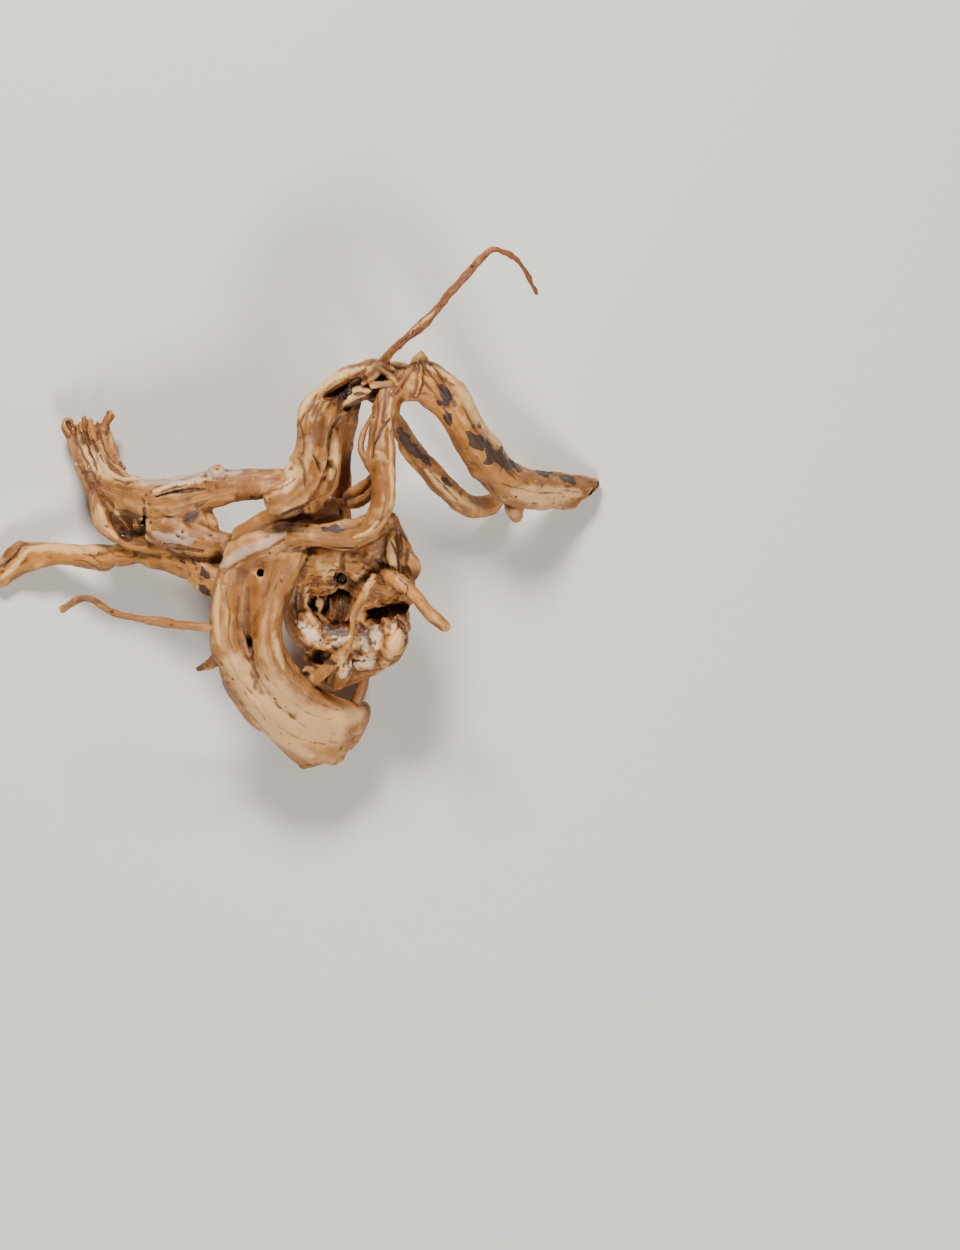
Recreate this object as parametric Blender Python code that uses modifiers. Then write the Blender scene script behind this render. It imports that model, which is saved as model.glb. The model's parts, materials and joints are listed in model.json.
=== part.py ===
"""A spiderwood root: the bare, twisted root of an azalea, lying on a surface, in metres, +Z up.

Every limb is a tube swept along a smooth route, with a lobed section like that of grown wood. The thick
limbs are fused by a voxel remesh and smoothed, so that they flow into each other. The twigs and splinters
are then joined on, the hollows are cut, and the underside is worn flat where it meets the surface.

X runs from the curled limb's end to the broken limb's end, and Y towards the frayed neck. The origin is the
middle of the root's footprint, on the surface.
"""

import math

import bmesh
import bpy
from mathutils import Vector

MM = 0.001
NODE_NAME = "spiderwood_root"

# Each limb is a tube along a smooth route through its stations, (x, y, z, radius) in millimetres.
# The number before the stations is the depth of its section as a share of the width.

# The trunk is two strands with a valley between them, which merge and flare into a broken blade.
TRUNK = {
    "trunk_left": (1.0, [
        (-16, -16.5, 70, 8), (-25.5, -24, 74, 9.5), (-32.5, -36.5, 78, 9), (-34.5, -50, 80, 8.5),
        (-34.5, -64, 78, 8.5), (-29, -78, 70, 9.5), (-21, -90, 57, 9.5), (-13, -101.5, 42, 9),
        (-4.5, -113, 24, 8.5), (3, -122, 8, 7), (4.5, -126, 2.5, 5),
    ]),
    "trunk_right": (1.0, [
        (-1, -14, 74, 8.5), (-4, -26.5, 80, 9), (-10.5, -43, 84, 8.5), (-14.5, -56.5, 84, 8),
        (-14, -69, 80, 8.5), (-8, -81.5, 70, 10), (0.5, -93, 56, 11), (12, -101, 42, 10.5),
        (23, -103.5, 32, 9.5), (31, -101.5, 25, 7.5), (35, -98.5, 21, 4.5),
    ]),
    "trunk_middle": (1.0, [
        (-18, -75, 66, 9), (-11, -89, 60, 12), (0, -101.5, 42, 12.5), (10.5, -111.5, 25, 12),
        (18, -118, 8, 10), (20.5, -120, 2, 7.5),
    ]),
    "trunk_valley": (1.0, [(-16, -23, 74, 9.5), (-22, -36.5, 77, 9.8), (-25, -48, 77, 9), (-25, -55, 75, 8)]),
    "trunk_heel": (1.0, [(-26, -89, 60, 7), (-19.5, -99, 48, 7.8), (-13, -106.5, 38, 6)]),
    "blade_corner": (1.0, [(-2, -94, 58, 10), (9, -104, 43, 12), (20, -108, 31, 11), (27.5, -108, 23, 8)]),
    "blade_edge": (1.0, [
        (-1, -121, 11, 6), (5, -125, 5, 5.2), (13, -123, 4.5, 6), (21, -118.5, 6.5, 6.5),
        (27.5, -112, 11, 6.2), (32, -104.5, 17, 6), (34.5, -98, 21, 4.5),
    ]),
    "heart": (1.0, [(-22, -24, 60, 11), (-2, -20, 58, 13), (15.5, -18, 54, 13), (33, -22, 54, 12)]),
    "mid_bulge": (1.0, [
        (-30, -14, 70, 6), (-20, -9, 76, 7), (-13, -6, 79, 7.5), (-6, -4, 81, 8), (4.5, -1, 81, 7.5),
        (14, 1, 76, 6.5), (20.5, 2, 68, 6),
    ]),
    "bulge_to_arch": (1.0, [(7.5, 11, 92, 8), (8.5, 5, 86, 8), (9, -1, 80, 8)]),
    "bulge_bridge": (1.0, [(2, -9, 74, 6.5), (13, -8, 71, 6.5), (24, -8, 66, 7)]),
}

# The left limb parts round a hole and ends in a frayed neck. The curled limb lies below it.
LEFT_LIMBS = {
    "upper_band": (1.0, [
        (3, 15, 66, 7.5), (-9.5, 15, 66, 8), (-22, 14, 66, 8), (-34.5, 12.5, 64, 9), (-47, 9, 62, 10),
        (-61, 6, 60, 10.5), (-74.5, 6, 56, 10.5), (-86, 9, 49, 10), (-94, 15, 38, 9.8), (-99, 24, 26, 10.2),
        (-102, 31.5, 14, 10.8), (-104, 38, 8, 10.5), (-104.5, 41, 6, 9),
    ]),
    "lower_band": (1.0, [
        (-72, -4, 54, 10), (-63, -8, 57, 11), (-53, -12, 60, 10.5), (-41, -16, 64, 8.5), (-30, -17.5, 66, 7.5),
        (-18, -16.5, 68, 8),
    ]),
    "band_join": (1.0, [(-80, 0, 48, 9), (-68, -1, 54, 10), (-56, -2, 58, 9), (-50, 0, 60, 7)]),
    "band_web": (1.0, [(-52, 4, 61, 7), (-46.5, -1, 61, 6.5), (-44, -8, 61, 6.5)]),
    "pocket_back": (1.0, [(-94, 6, 38, 8), (-84, -4, 36, 8), (-70, -10, 44, 9)]),
    "pocket_rim": (1.0, [
        (-97, 12, 42, 7), (-97.5, 1, 43, 6), (-95, -7, 43, 4.4), (-90, -12.5, 44, 3.3), (-83, -16.3, 46, 3),
        (-74, -18, 50, 3.6), (-63, -17, 55, 5.5),
    ]),
    "band_knot": (1.0, [(-39, 14, 68, 6), (-38, 20, 69, 4), (-37.5, 22, 69, 2.5)]),
    "curled_limb": (1.0, [
        (-152, -35.5, 3.2, 4), (-146, -30, 4.2, 6), (-140, -24.5, 6.2, 7.5), (-133.5, -21.5, 9, 7.6),
        (-123, -20, 15, 6.4), (-109.5, -21.2, 22, 5.6), (-98.5, -23, 28, 6.4), (-87, -20.5, 34, 6),
        (-74.5, -21.5, 40, 6.3), (-62, -23.5, 46, 7.3), (-50, -28.5, 53, 8.3), (-38, -34, 60, 9.2), (-27, -38, 64, 9),
    ]),
}

# The arch rises from a blunt knob and meets the right limb and the front tube at the top of the root.
ARCH = {
    "arch": (1.0, [
        (-13, 4, 100, 6.5), (-7, 6, 101, 9.5), (0.5, 10.5, 100, 10), (6, 19, 98, 9.8), (9.5, 31, 96, 8.8),
        (11, 43.5, 95, 9), (14.5, 52, 94, 9), (19.5, 60, 95, 7.5), (26, 66, 95, 6), (33, 69.5, 93, 5.4),
        (41, 70.5, 90, 6), (50, 68, 88, 7),
    ]),
    "arch_foot": (1.0, [(-4, 8, 98, 8), (4, 11.5, 97, 8), (12, 15.5, 95, 8), (17, 20, 92, 6)]),
    "arch_shelf": (0.8, [
        (15.5, 48, 88, 7.5), (22, 51.5, 87, 6), (28, 55.5, 86, 5), (34, 58.5, 86, 5), (43, 61, 87, 6),
    ]),
    "arch_inner": (1.0, [
        (25.5, 50, 80, 4), (21.5, 43, 84, 4), (20, 33, 87, 4.8), (19.5, 22, 89, 4.8), (17, 12, 89, 5),
        (10, 6, 90, 5.5),
    ]),
    "back_tube": (1.0, [
        (31, 57, 80, 4.3), (28.5, 47, 71, 4), (26.8, 36, 62, 3.9), (25.5, 24, 57, 3.9), (24.5, 13, 55, 4.6),
        (23, 4, 54, 6.5), (22, -4, 54, 8.5), (22, -11, 56, 9),
    ]),
    "front_tube": (1.0, [
        (53, 71, 88, 6.5), (50, 62, 92, 6.8), (46.5, 52, 97, 6.8), (44, 41, 101, 6.2), (44, 30, 103, 6.2),
        (45, 18.5, 103, 5.8), (45.5, 7.5, 102, 5.8), (43, -2.5, 100, 6.2), (36.5, -9, 97, 6.3), (28, -12, 95, 6.1),
        (18, -12.5, 93, 5.9), (8, -11.5, 91, 6.4), (-2, -11.5, 87, 7.4), (-11, -14.5, 82, 8.4), (-19, -20, 76, 9.4),
    ]),
    "right_limb": (1.0, [
        (45.5, 66, 84, 6), (53, 65.5, 86, 7.5), (61, 65.5, 88, 9.3), (69.5, 63, 88, 10.6), (77.5, 55.5, 86, 11),
        (84.5, 44, 80, 10.4), (92, 32.5, 70, 10), (100, 22, 58, 10.2), (108.5, 13.5, 45, 10.6),
        (119.5, 12, 32, 10.2), (131, 11.5, 20, 9.5), (141, 11, 9.5, 8.6), (148, 12.5, 5.5, 7.6), (153, 14.5, 4.5, 5),
    ]),
    "right_limb_ridge": (1.0, [
        (63, 72, 90, 4), (72, 68.5, 91, 4.5), (79.5, 61.5, 89, 4.5), (86, 50.5, 83, 4), (94, 38.5, 74, 4),
        (102, 28.5, 63, 4), (110, 21, 51, 4),
    ]),
    "right_peak": (1.0, [
        (59, 62, 87, 8), (62, 69.5, 88, 8.2), (62.8, 73.5, 89, 6.3), (63, 76.5, 89, 4), (63.2, 78.5, 89, 2),
    ]),
    "back_limb": (1.0, [
        (35, 64, 86, 5), (45.5, 55, 77, 4.8), (52, 42, 66, 4.5), (59.5, 31.5, 57, 5), (67.5, 21.5, 47, 5.5),
        (76, 13, 36, 5.8), (84, 5.5, 26, 6.7), (91.5, 2.5, 18, 7), (98.5, 5.5, 13, 5.8), (104.5, 9.5, 11, 4.8),
    ]),
}

# The knot at the right of the trunk is a lump with deep hollows, ringed by lobes.
KNOT = {
    "knot_top": (1.0, [
        (-4.5, -25, 66, 9), (8, -25, 68, 9.8), (20.5, -24.5, 69, 10.3), (32, -25.5, 69.5, 10.6), (43, -28, 69, 9.5),
    ]),
    "knot_brow": (1.0, [(3, -32, 60, 8), (14, -34.5, 61, 7), (26, -34.5, 64, 7), (36, -37, 66, 8), (47, -38, 65, 8)]),
    "knot_shoulder": (1.0, [(34, -21, 72, 9), (43, -15, 74, 8), (48, -7, 78, 6.5), (48, -1, 84, 5)]),
    "knot_core_left": (1.0, [(6, -32, 52, 12), (14, -46, 42, 14), (24, -60, 41, 13)]),
    "knot_core_middle": (1.0, [(24, -34, 50, 11), (28, -45, 42, 12), (31, -58, 42, 12)]),
    "knot_core_right": (1.0, [(38, -30, 52, 13), (42, -46, 46, 14), (40, -62, 46, 13)]),
    "knot_right": (1.0, [
        (48, 0, 84, 4.5), (51, -9, 78, 6), (53.5, -20, 72, 7), (54, -32, 66, 7.5), (52, -44, 62, 7),
        (49.5, -56.5, 58, 7), (47, -68, 54, 7.5), (43, -73, 52, 7.5),
    ]),
    "knot_left": (1.0, [
        (5.5, -30, 62, 8.5), (1.5, -40, 58, 8), (1, -50, 57, 7.8), (4, -60, 56, 8), (12, -64.5, 54, 8),
    ]),
    "knot_saddle": (1.0, [(12, -64, 54, 7.5), (21, -63, 56, 7.5), (30, -65, 57, 7.5), (38, -70, 54, 7)]),
    "knot_bottom": (1.0, [
        (43, -73, 52, 6.5), (39, -75, 48, 7), (31, -79, 44, 6.5), (23, -82, 40, 6), (16, -86, 38, 6),
        (10, -90, 40, 6.5),
    ]),
    "knot_pale_lobe": (1.0, [(42, -56, 61, 4.5), (41, -62, 61, 6), (42, -69, 59, 6.3)]),
    "knot_boss": (1.0, [(52, -22, 76, 4), (58, -26.5, 74, 4.4), (58, -33, 70, 4)]),
}

# Hollows and cracks, cut out of the thick limbs before the thin ones are joined on.
HOLLOWS = {
    "knot_hollow_left": (1.0, [(20, -47.5, 92, 9), (20, -47.5, 64, 11), (20.5, -48, 55, 9), (21, -48, 50, 5)]),
    "knot_hollow_crescent": (1.0, [(9.5, -44.5, 76, 3), (10.5, -46, 58, 4), (11.5, -48, 44, 3.4), (12, -48, 38, 2)]),
    "knot_hollow_right": (3.0, [(34.5, -52, 63, 4.5), (41, -51, 64, 5.2), (48, -49.5, 66, 4), (58, -48.5, 70, 2.4)]),
    "knot_pit": (1.0, [(22.5, -32.5, 92, 3), (22, -33, 66, 2.6), (22, -33.5, 60, 1.6)]),
    "pocket": (1.0, [(-82.5, -6, 74, 6.5), (-82, -7, 56, 8), (-81.5, -7.5, 47, 7), (-81.5, -7, 42, 3.5)]),
    "band_crack": (2.0, [(-70, 7.5, 68, 0.7), (-63, 9.5, 70.5, 1.2), (-52, 10.5, 72, 1.2), (-44, 12, 72.5, 0.7)]),
    "arch_crevice": (2.5, [(15, 56.3, 102, 0.8), (20, 58.5, 101, 2.2), (26, 61.3, 98, 2.4), (32, 63.5, 96, 1.8)]),
    "top_knot_hole": (1.0, [(45, 67, 104, 3), (45, 67, 90, 2.6), (45, 67, 84, 1.6)]),
    "trunk_pit": (1.0, [(-16, -30.5, 98, 1.8), (-16, -30.5, 80, 1.4)]),
    "neck_pit": (1.0, [(-103.5, 20.5, 50, 2.2), (-103, 20, 33, 1.6)]),
    "broken_end": (1.0, [(141, -9, 8, 8), (146, -4, 8, 10), (159.5, 8.5, 8, 10), (164, 12, 8, 8)]),
}

TWIGS = {
    "left_twig": (1.0, [
        (-116, -49.5, 97, 2.2), (-112, -47, 97, 1.9), (-107, -44, 96, 1.8), (-101.5, -43, 95, 1.8),
        (-96.5, -45.5, 94, 1.9), (-91.5, -49.5, 93, 2), (-85.5, -51.5, 92, 1.8), (-79.5, -52.8, 91, 1.7),
        (-67, -54.8, 88, 1.8), (-58.5, -56.3, 86, 2), (-49.5, -57, 84, 1.9), (-39.5, -58, 81, 2.5),
    ]),
    "top_twig": (1.0, [
        (43, 69, 90, 2.8), (45, 75, 97, 2.2), (53, 82.5, 106, 2), (62, 90, 113, 2), (70, 97.5, 119, 2.1),
        (76, 104.5, 124, 2.1), (82, 111.5, 128, 2), (89, 119, 131, 2), (95, 125.5, 133, 2),
        (99.5, 129, 133, 2.1), (104.5, 127.5, 131, 1.8), (110, 125, 127, 1.8), (114.5, 119.5, 121, 1.8),
        (118, 113.5, 114, 1.6), (121.5, 107.5, 107, 1.3),
    ]),
    "right_twig": (1.0, [
        (40.5, -26.5, 72, 4.5), (48, -30.5, 80, 4), (55.5, -36.5, 86, 3.7), (62, -43, 89, 3.5),
        (67.5, -50, 90, 3.4), (71.5, -54.5, 90, 3.5), (75.5, -57.5, 89, 3.2),
    ]),
    "knot_strand": (1.0, [
        (46, -29, 72, 4.4), (41, -33, 78, 4), (36, -39, 81, 3.3), (32.3, -45.5, 82.5, 2.5), (30.3, -52, 82.5, 2.1),
        (29.5, -59, 81.5, 2), (28.3, -66, 79, 2.2), (24.5, -71.5, 75, 2.9), (18, -77, 67, 3.4),
        (11.5, -82.5, 57, 3.6), (6.5, -85.5, 49, 4),
    ]),
    "knot_flute": (1.0, [(27, -42, 52, 4.5), (23.5, -48, 52, 6.5), (21, -54, 48, 4.5)]),
    "knot_strut": (1.0, [(36, -78, 43, 3.5), (34.5, -86, 38, 2.8), (31, -95, 34, 3)]),
    "side_strand": (1.0, [
        (42, 50, 93, 3), (37, 43.5, 94, 2.2), (34.3, 36, 95, 2.1), (33.8, 31, 96, 2.2), (36, 26.5, 98, 2.3),
        (38.5, 22, 99, 2.6), (42, 18, 100, 3),
    ]),
    "hanging_flap": (1.0, [(22, 4, 60, 3), (27, 4, 66, 2.6), (33, 4.8, 76, 2.4), (38.5, 8.5, 88, 2.3), (42, 14, 97, 2.4)]),
    "pocket_rib": (1.0, [(-86, 2, 50, 3), (-82.5, -4, 50, 3), (-79, -8, 48, 2.6)]),
    "right_nub": (1.0, [(110, 6, 38, 5.5), (111, 0, 32, 4), (111.5, -3.5, 29, 2.2)]),
    "trunk_spur": (1.0, [(-36, -73, 68, 6), (-44.5, -77, 63, 3), (-48.5, -78.5, 60, 1.6)]),
}

# Splinters fan out of the frayed neck.
SPLINTERS = {
    "splinter_1": (1.0, [
        (-96, 2, 46, 2.4), (-103, 12, 38, 2.8), (-108, 23, 27, 3), (-112, 36, 17, 3.4), (-116, 43, 13, 3),
        (-114.5, 47, 12, 2.2),
    ]),
    "splinter_2": (1.0, [
        (-90, 4, 54, 1.8), (-98, 12, 46.5, 2.3), (-103.5, 22, 35.5, 2.5), (-107.5, 33, 21, 2.6), (-110, 44, 17, 1.8),
    ]),
    "splinter_3": (1.0, [
        (-84, 10, 57.5, 1.8), (-93, 14, 48, 2.3), (-99, 23, 36.5, 2.3), (-103.5, 34, 21, 2.3), (-106.5, 48.5, 20, 1.4),
    ]),
    "splinter_4": (1.0, [(-101, 33, 22, 3.6), (-103, 42, 23, 2.2), (-103, 47.5, 22, 1.7)]),
    "splinter_5": (1.0, [
        (-78, 13, 59, 1.8), (-88, 17.5, 48, 2.4), (-94.5, 25, 35, 2.6), (-97.5, 36, 21, 2.8), (-96.5, 44, 20, 2.2),
        (-92.5, 50, 20, 2.3),
    ]),
    "splinter_6": (1.0, [(-100, 34, 14, 4), (-99.5, 42, 13, 2.6), (-100, 46.5, 12, 1.6)]),
    "splinter_7": (1.0, [(-106, 31, 10, 4.5), (-110, 41, 7, 3), (-112.5, 45, 6, 2.2)]),
    "splinter_8": (1.0, [(-100, 32, 10, 4.5), (-97, 41, 7, 3), (-95.5, 46, 6, 2)]),
}

# The section is a circle with lobes: each is (how many round the limb, height as a share of the radius, phase).
SECTION_LOBES = ((2, 0.07, 0.6), (3, 0.06, 2.1), (5, 0.035, 4.0))
SECTION_POINTS = 20
SECTION_TWIST = 11.0  # radians that the section turns in a metre of limb
STEPS_BETWEEN_STATIONS = 4

PHASE_STEP = 1.7  # radians that one limb's section is turned from the last limb's

# The thick limbs are fused from coarse voxels, and everything again from fine ones.
LIMB_VOXEL = 1.3 * MM
FINE_VOXEL = 0.9 * MM
JOIN_SMOOTHING = 8  # passes of smoothing that round the joins between thick limbs
WELD = 0.02 * MM  # a swept tube's end caps are loose by less than this
WEAR_SCALE = 22 * MM
WEAR_DEPTH = 2.2 * MM
TRIANGLES = 9600
GROUND_SIZE = 0.6
WOOD_COLOUR = (0.58, 0.35, 0.17, 1)


def catmull_rom(a, b, c, d, t):
    """The value at t, from 0 to 1, between b and c on a smooth curve through all four."""
    return 0.5 * (2 * b + (c - a) * t + (2 * a - 5 * b + 4 * c - d) * t**2 + (3 * b - a - 3 * c + d) * t**3)


def smooth_route(stations):
    """Closely spaced stations on a smooth curve through the given ones."""
    ends = [stations[0], *stations, stations[-1]]
    route = []
    for a, b, c, d in zip(ends, ends[1:], ends[2:], ends[3:]):
        for step in range(STEPS_BETWEEN_STATIONS):
            share = step / STEPS_BETWEEN_STATIONS
            route.append([catmull_rom(*values, share) for values in zip(a, b, c, d)])
    route.append(list(stations[-1]))
    return route


def make_section(collection):
    """The lobed outline, one metre in radius, that every limb is swept with."""
    curve = bpy.data.curves.new("limb_section", "CURVE")
    spline = curve.splines.new("POLY")
    spline.points.add(SECTION_POINTS - 1)
    spline.use_cyclic_u = True
    for number, point in enumerate(spline.points):
        angle = math.tau * number / SECTION_POINTS
        radius = 1 + sum(height * math.cos(count * angle + phase) for count, height, phase in SECTION_LOBES)
        point.co = (radius * math.cos(angle), radius * math.sin(angle), 0, 1)
    section = bpy.data.objects.new("limb_section", curve)
    section.hide_render = True
    collection.objects.link(section)
    return section


def limb_mesh(name, flatness, stations, section, phase):
    """One limb as a closed mesh. A flattened limb is drawn deep and then pressed along Z."""
    curve = bpy.data.curves.new(name, "CURVE")
    curve.dimensions = "3D"
    curve.bevel_mode = "OBJECT"
    curve.bevel_object = section
    curve.use_fill_caps = True
    route = smooth_route(stations)
    spline = curve.splines.new("POLY")
    spline.points.add(len(route) - 1)
    run = 0.0
    last = None
    for point, (x, y, z, radius) in zip(spline.points, route):
        place = Vector((x, y, z / flatness)) * MM
        run += (place - last).length if last else 0.0
        last = place
        point.co = (*place, 1)
        point.radius = radius * MM
        point.tilt = phase + SECTION_TWIST * run
    drawn = bpy.data.objects.new(name, curve)
    drawn.scale.z = flatness
    bpy.context.scene.collection.objects.link(drawn)
    bpy.context.view_layer.update()
    evaluated = drawn.evaluated_get(bpy.context.evaluated_depsgraph_get())
    mesh = bpy.data.meshes.new_from_object(evaluated)
    mesh.transform(drawn.matrix_world)
    bpy.data.objects.remove(drawn)
    return mesh


def add_limbs(shape, limbs, section):
    """Adds each limb's closed tube to a bmesh. The tubes overlap where limbs meet."""
    for number, (name, (flatness, stations)) in enumerate(limbs.items()):
        mesh = limb_mesh(name, flatness, stations, section, phase=PHASE_STEP * number)
        shape.from_mesh(mesh)
        bpy.data.meshes.remove(mesh)
    bmesh.ops.remove_doubles(shape, verts=shape.verts, dist=WELD)
    bmesh.ops.recalc_face_normals(shape, faces=shape.faces)


def outer_skin(shape):
    """Drops the skins of sealed hollows and loose scraps, and leaves only the largest connected skin."""
    unsorted = set(shape.verts)
    skins = []
    while unsorted:
        skin = set()
        front = [unsorted.pop()]
        while front:
            vertex = front.pop()
            skin.add(vertex)
            neighbours = {edge.other_vert(vertex) for edge in vertex.link_edges} & unsorted
            unsorted -= neighbours
            front.extend(neighbours)
        skins.append(skin)
    largest = max(skins, key=len)
    scraps = [vertex for vertex in shape.verts if vertex not in largest]
    bmesh.ops.delete(shape, geom=scraps, context="VERTS")


def fuse(body, voxel_size):
    """Makes one skin of everything in the body that overlaps, from voxels of the given size."""
    remesh = body.modifiers.new("fuse", "REMESH")
    remesh.mode = "VOXEL"
    remesh.voxel_size = voxel_size


def soften(body):
    """Rounds the joins between limbs, and wears the surface unevenly."""
    smooth = body.modifiers.new("round_joins", "SMOOTH")
    smooth.factor = 0.5
    smooth.iterations = JOIN_SMOOTHING
    clouds = bpy.data.textures.new("wear", "CLOUDS")
    clouds.noise_scale = WEAR_SCALE
    wear = body.modifiers.new("wear", "DISPLACE")
    wear.texture = clouds
    wear.texture_coords = "LOCAL"
    wear.strength = WEAR_DEPTH
    wear.mid_level = 0.5


def cut_hollows(body, collection, section):
    """Cuts the hollows out of the body, all of them with one cutter."""
    shape = bmesh.new()
    add_limbs(shape, HOLLOWS, section)
    mesh = bpy.data.meshes.new("hollows")
    shape.to_mesh(mesh)
    shape.free()
    cutter = bpy.data.objects.new("hollows", mesh)
    cutter.hide_render = True
    cutter.display_type = "WIRE"
    collection.objects.link(cutter)
    cut = body.modifiers.new("hollows", "BOOLEAN")
    cut.operation = "DIFFERENCE"
    cut.object = cutter
    cut.solver = "MANIFOLD"


def bake(body):
    """The mesh that the body's modifiers make, as a bmesh, with the modifiers removed."""
    bpy.context.view_layer.update()
    mesh = bpy.data.meshes.new_from_object(body.evaluated_get(bpy.context.evaluated_depsgraph_get()))
    body.modifiers.clear()
    shape = bmesh.new()
    shape.from_mesh(mesh)
    bpy.data.meshes.remove(mesh)
    return shape


def make_root(collection, section):
    """The thick limbs, fused and softened, with the thin ones then fused on at their full thickness."""
    body = bpy.data.objects.new(NODE_NAME, bpy.data.meshes.new(NODE_NAME))
    collection.objects.link(body)
    limbs = bmesh.new()
    add_limbs(limbs, TRUNK | LEFT_LIMBS | ARCH | KNOT, section)
    limbs.to_mesh(body.data)
    limbs.free()

    fuse(body, LIMB_VOXEL)
    soften(body)
    cut_hollows(body, collection, section)
    shape = bake(body)
    add_limbs(shape, TWIGS | SPLINTERS, section)
    shape.to_mesh(body.data)
    shape.free()

    fuse(body, FINE_VOXEL)
    shape = bake(body)
    outer_skin(shape)
    triangles = sum(len(face.verts) - 2 for face in shape.faces)
    shape.to_mesh(body.data)
    shape.free()

    decimate = body.modifiers.new("fewer_triangles", "DECIMATE")
    decimate.ratio = TRIANGLES / triangles
    return body


def make_ground(collection):
    """The block below the surface, which wears the root's lowest points flat."""
    bpy.ops.mesh.primitive_cube_add(size=GROUND_SIZE, location=(0, 0, -GROUND_SIZE / 2))
    ground = bpy.context.object
    ground.name = "ground"
    ground.hide_render = True
    ground.display_type = "WIRE"
    for old_collection in ground.users_collection:
        old_collection.objects.unlink(ground)
    collection.objects.link(ground)
    return ground


def wood_material():
    wood = bpy.data.materials.new("bare_root_wood")
    wood.use_nodes = True
    shader = wood.node_tree.nodes["Principled BSDF"]
    shader.inputs["Base Color"].default_value = WOOD_COLOUR
    shader.inputs["Roughness"].default_value = 0.7
    shader.inputs["Metallic"].default_value = 0.0
    return wood


def build():
    for thing in list(bpy.data.objects):
        bpy.data.objects.remove(thing)
    scene = bpy.context.scene.collection
    parts = bpy.data.collections.new("spiderwood root")
    cutters = bpy.data.collections.new("cutters and guides")
    scene.children.link(parts)
    scene.children.link(cutters)
    body = make_root(parts, make_section(cutters))
    wear = body.modifiers.new("worn_flat", "BOOLEAN")
    wear.operation = "DIFFERENCE"
    wear.object = make_ground(cutters)
    body.data.materials.append(wood_material())
    body.data.shade_smooth()


build()
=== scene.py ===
"""A spiderwood root, the bare twisted root of an azalea, lying on a pale floor and seen from straight above.

The root is grown limb by limb: a ring of points is extruded from station to station, and turned and resized
at each. The thick limbs are fused by a voxel remesh and smoothed, the hollows are cut, and the twigs,
splinters and folds are fused on. The grain is then carved along every limb. Places in the tables are
millimetres in the frame of the CAD part: +X to the right of the photograph, +Y to its top, and +Z towards
the camera.
"""

import json
import math
from itertools import product

import bpy
import numpy as np
from mathutils import Matrix, Quaternion, Vector
from mathutils.bvhtree import BVHTree

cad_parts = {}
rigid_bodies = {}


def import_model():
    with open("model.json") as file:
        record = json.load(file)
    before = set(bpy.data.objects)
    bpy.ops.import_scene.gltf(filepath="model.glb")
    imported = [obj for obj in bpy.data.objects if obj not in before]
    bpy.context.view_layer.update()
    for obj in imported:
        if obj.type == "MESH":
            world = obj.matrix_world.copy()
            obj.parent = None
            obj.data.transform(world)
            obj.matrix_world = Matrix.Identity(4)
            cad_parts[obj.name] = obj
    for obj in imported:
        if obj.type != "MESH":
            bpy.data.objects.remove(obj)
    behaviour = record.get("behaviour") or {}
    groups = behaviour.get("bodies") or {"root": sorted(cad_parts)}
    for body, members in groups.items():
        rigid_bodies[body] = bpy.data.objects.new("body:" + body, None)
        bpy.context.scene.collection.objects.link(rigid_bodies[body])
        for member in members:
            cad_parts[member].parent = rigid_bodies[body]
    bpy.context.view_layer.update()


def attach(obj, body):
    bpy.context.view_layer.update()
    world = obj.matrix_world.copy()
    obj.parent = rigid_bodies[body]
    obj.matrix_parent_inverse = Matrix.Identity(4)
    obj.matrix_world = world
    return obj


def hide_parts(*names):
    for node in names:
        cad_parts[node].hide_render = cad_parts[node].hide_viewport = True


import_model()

MM = 0.001

# Each limb is a tube along a smooth route through its stations, (x, y, z, radius) in millimetres.
# The number before the stations is the depth of its section as a share of the width.

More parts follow.
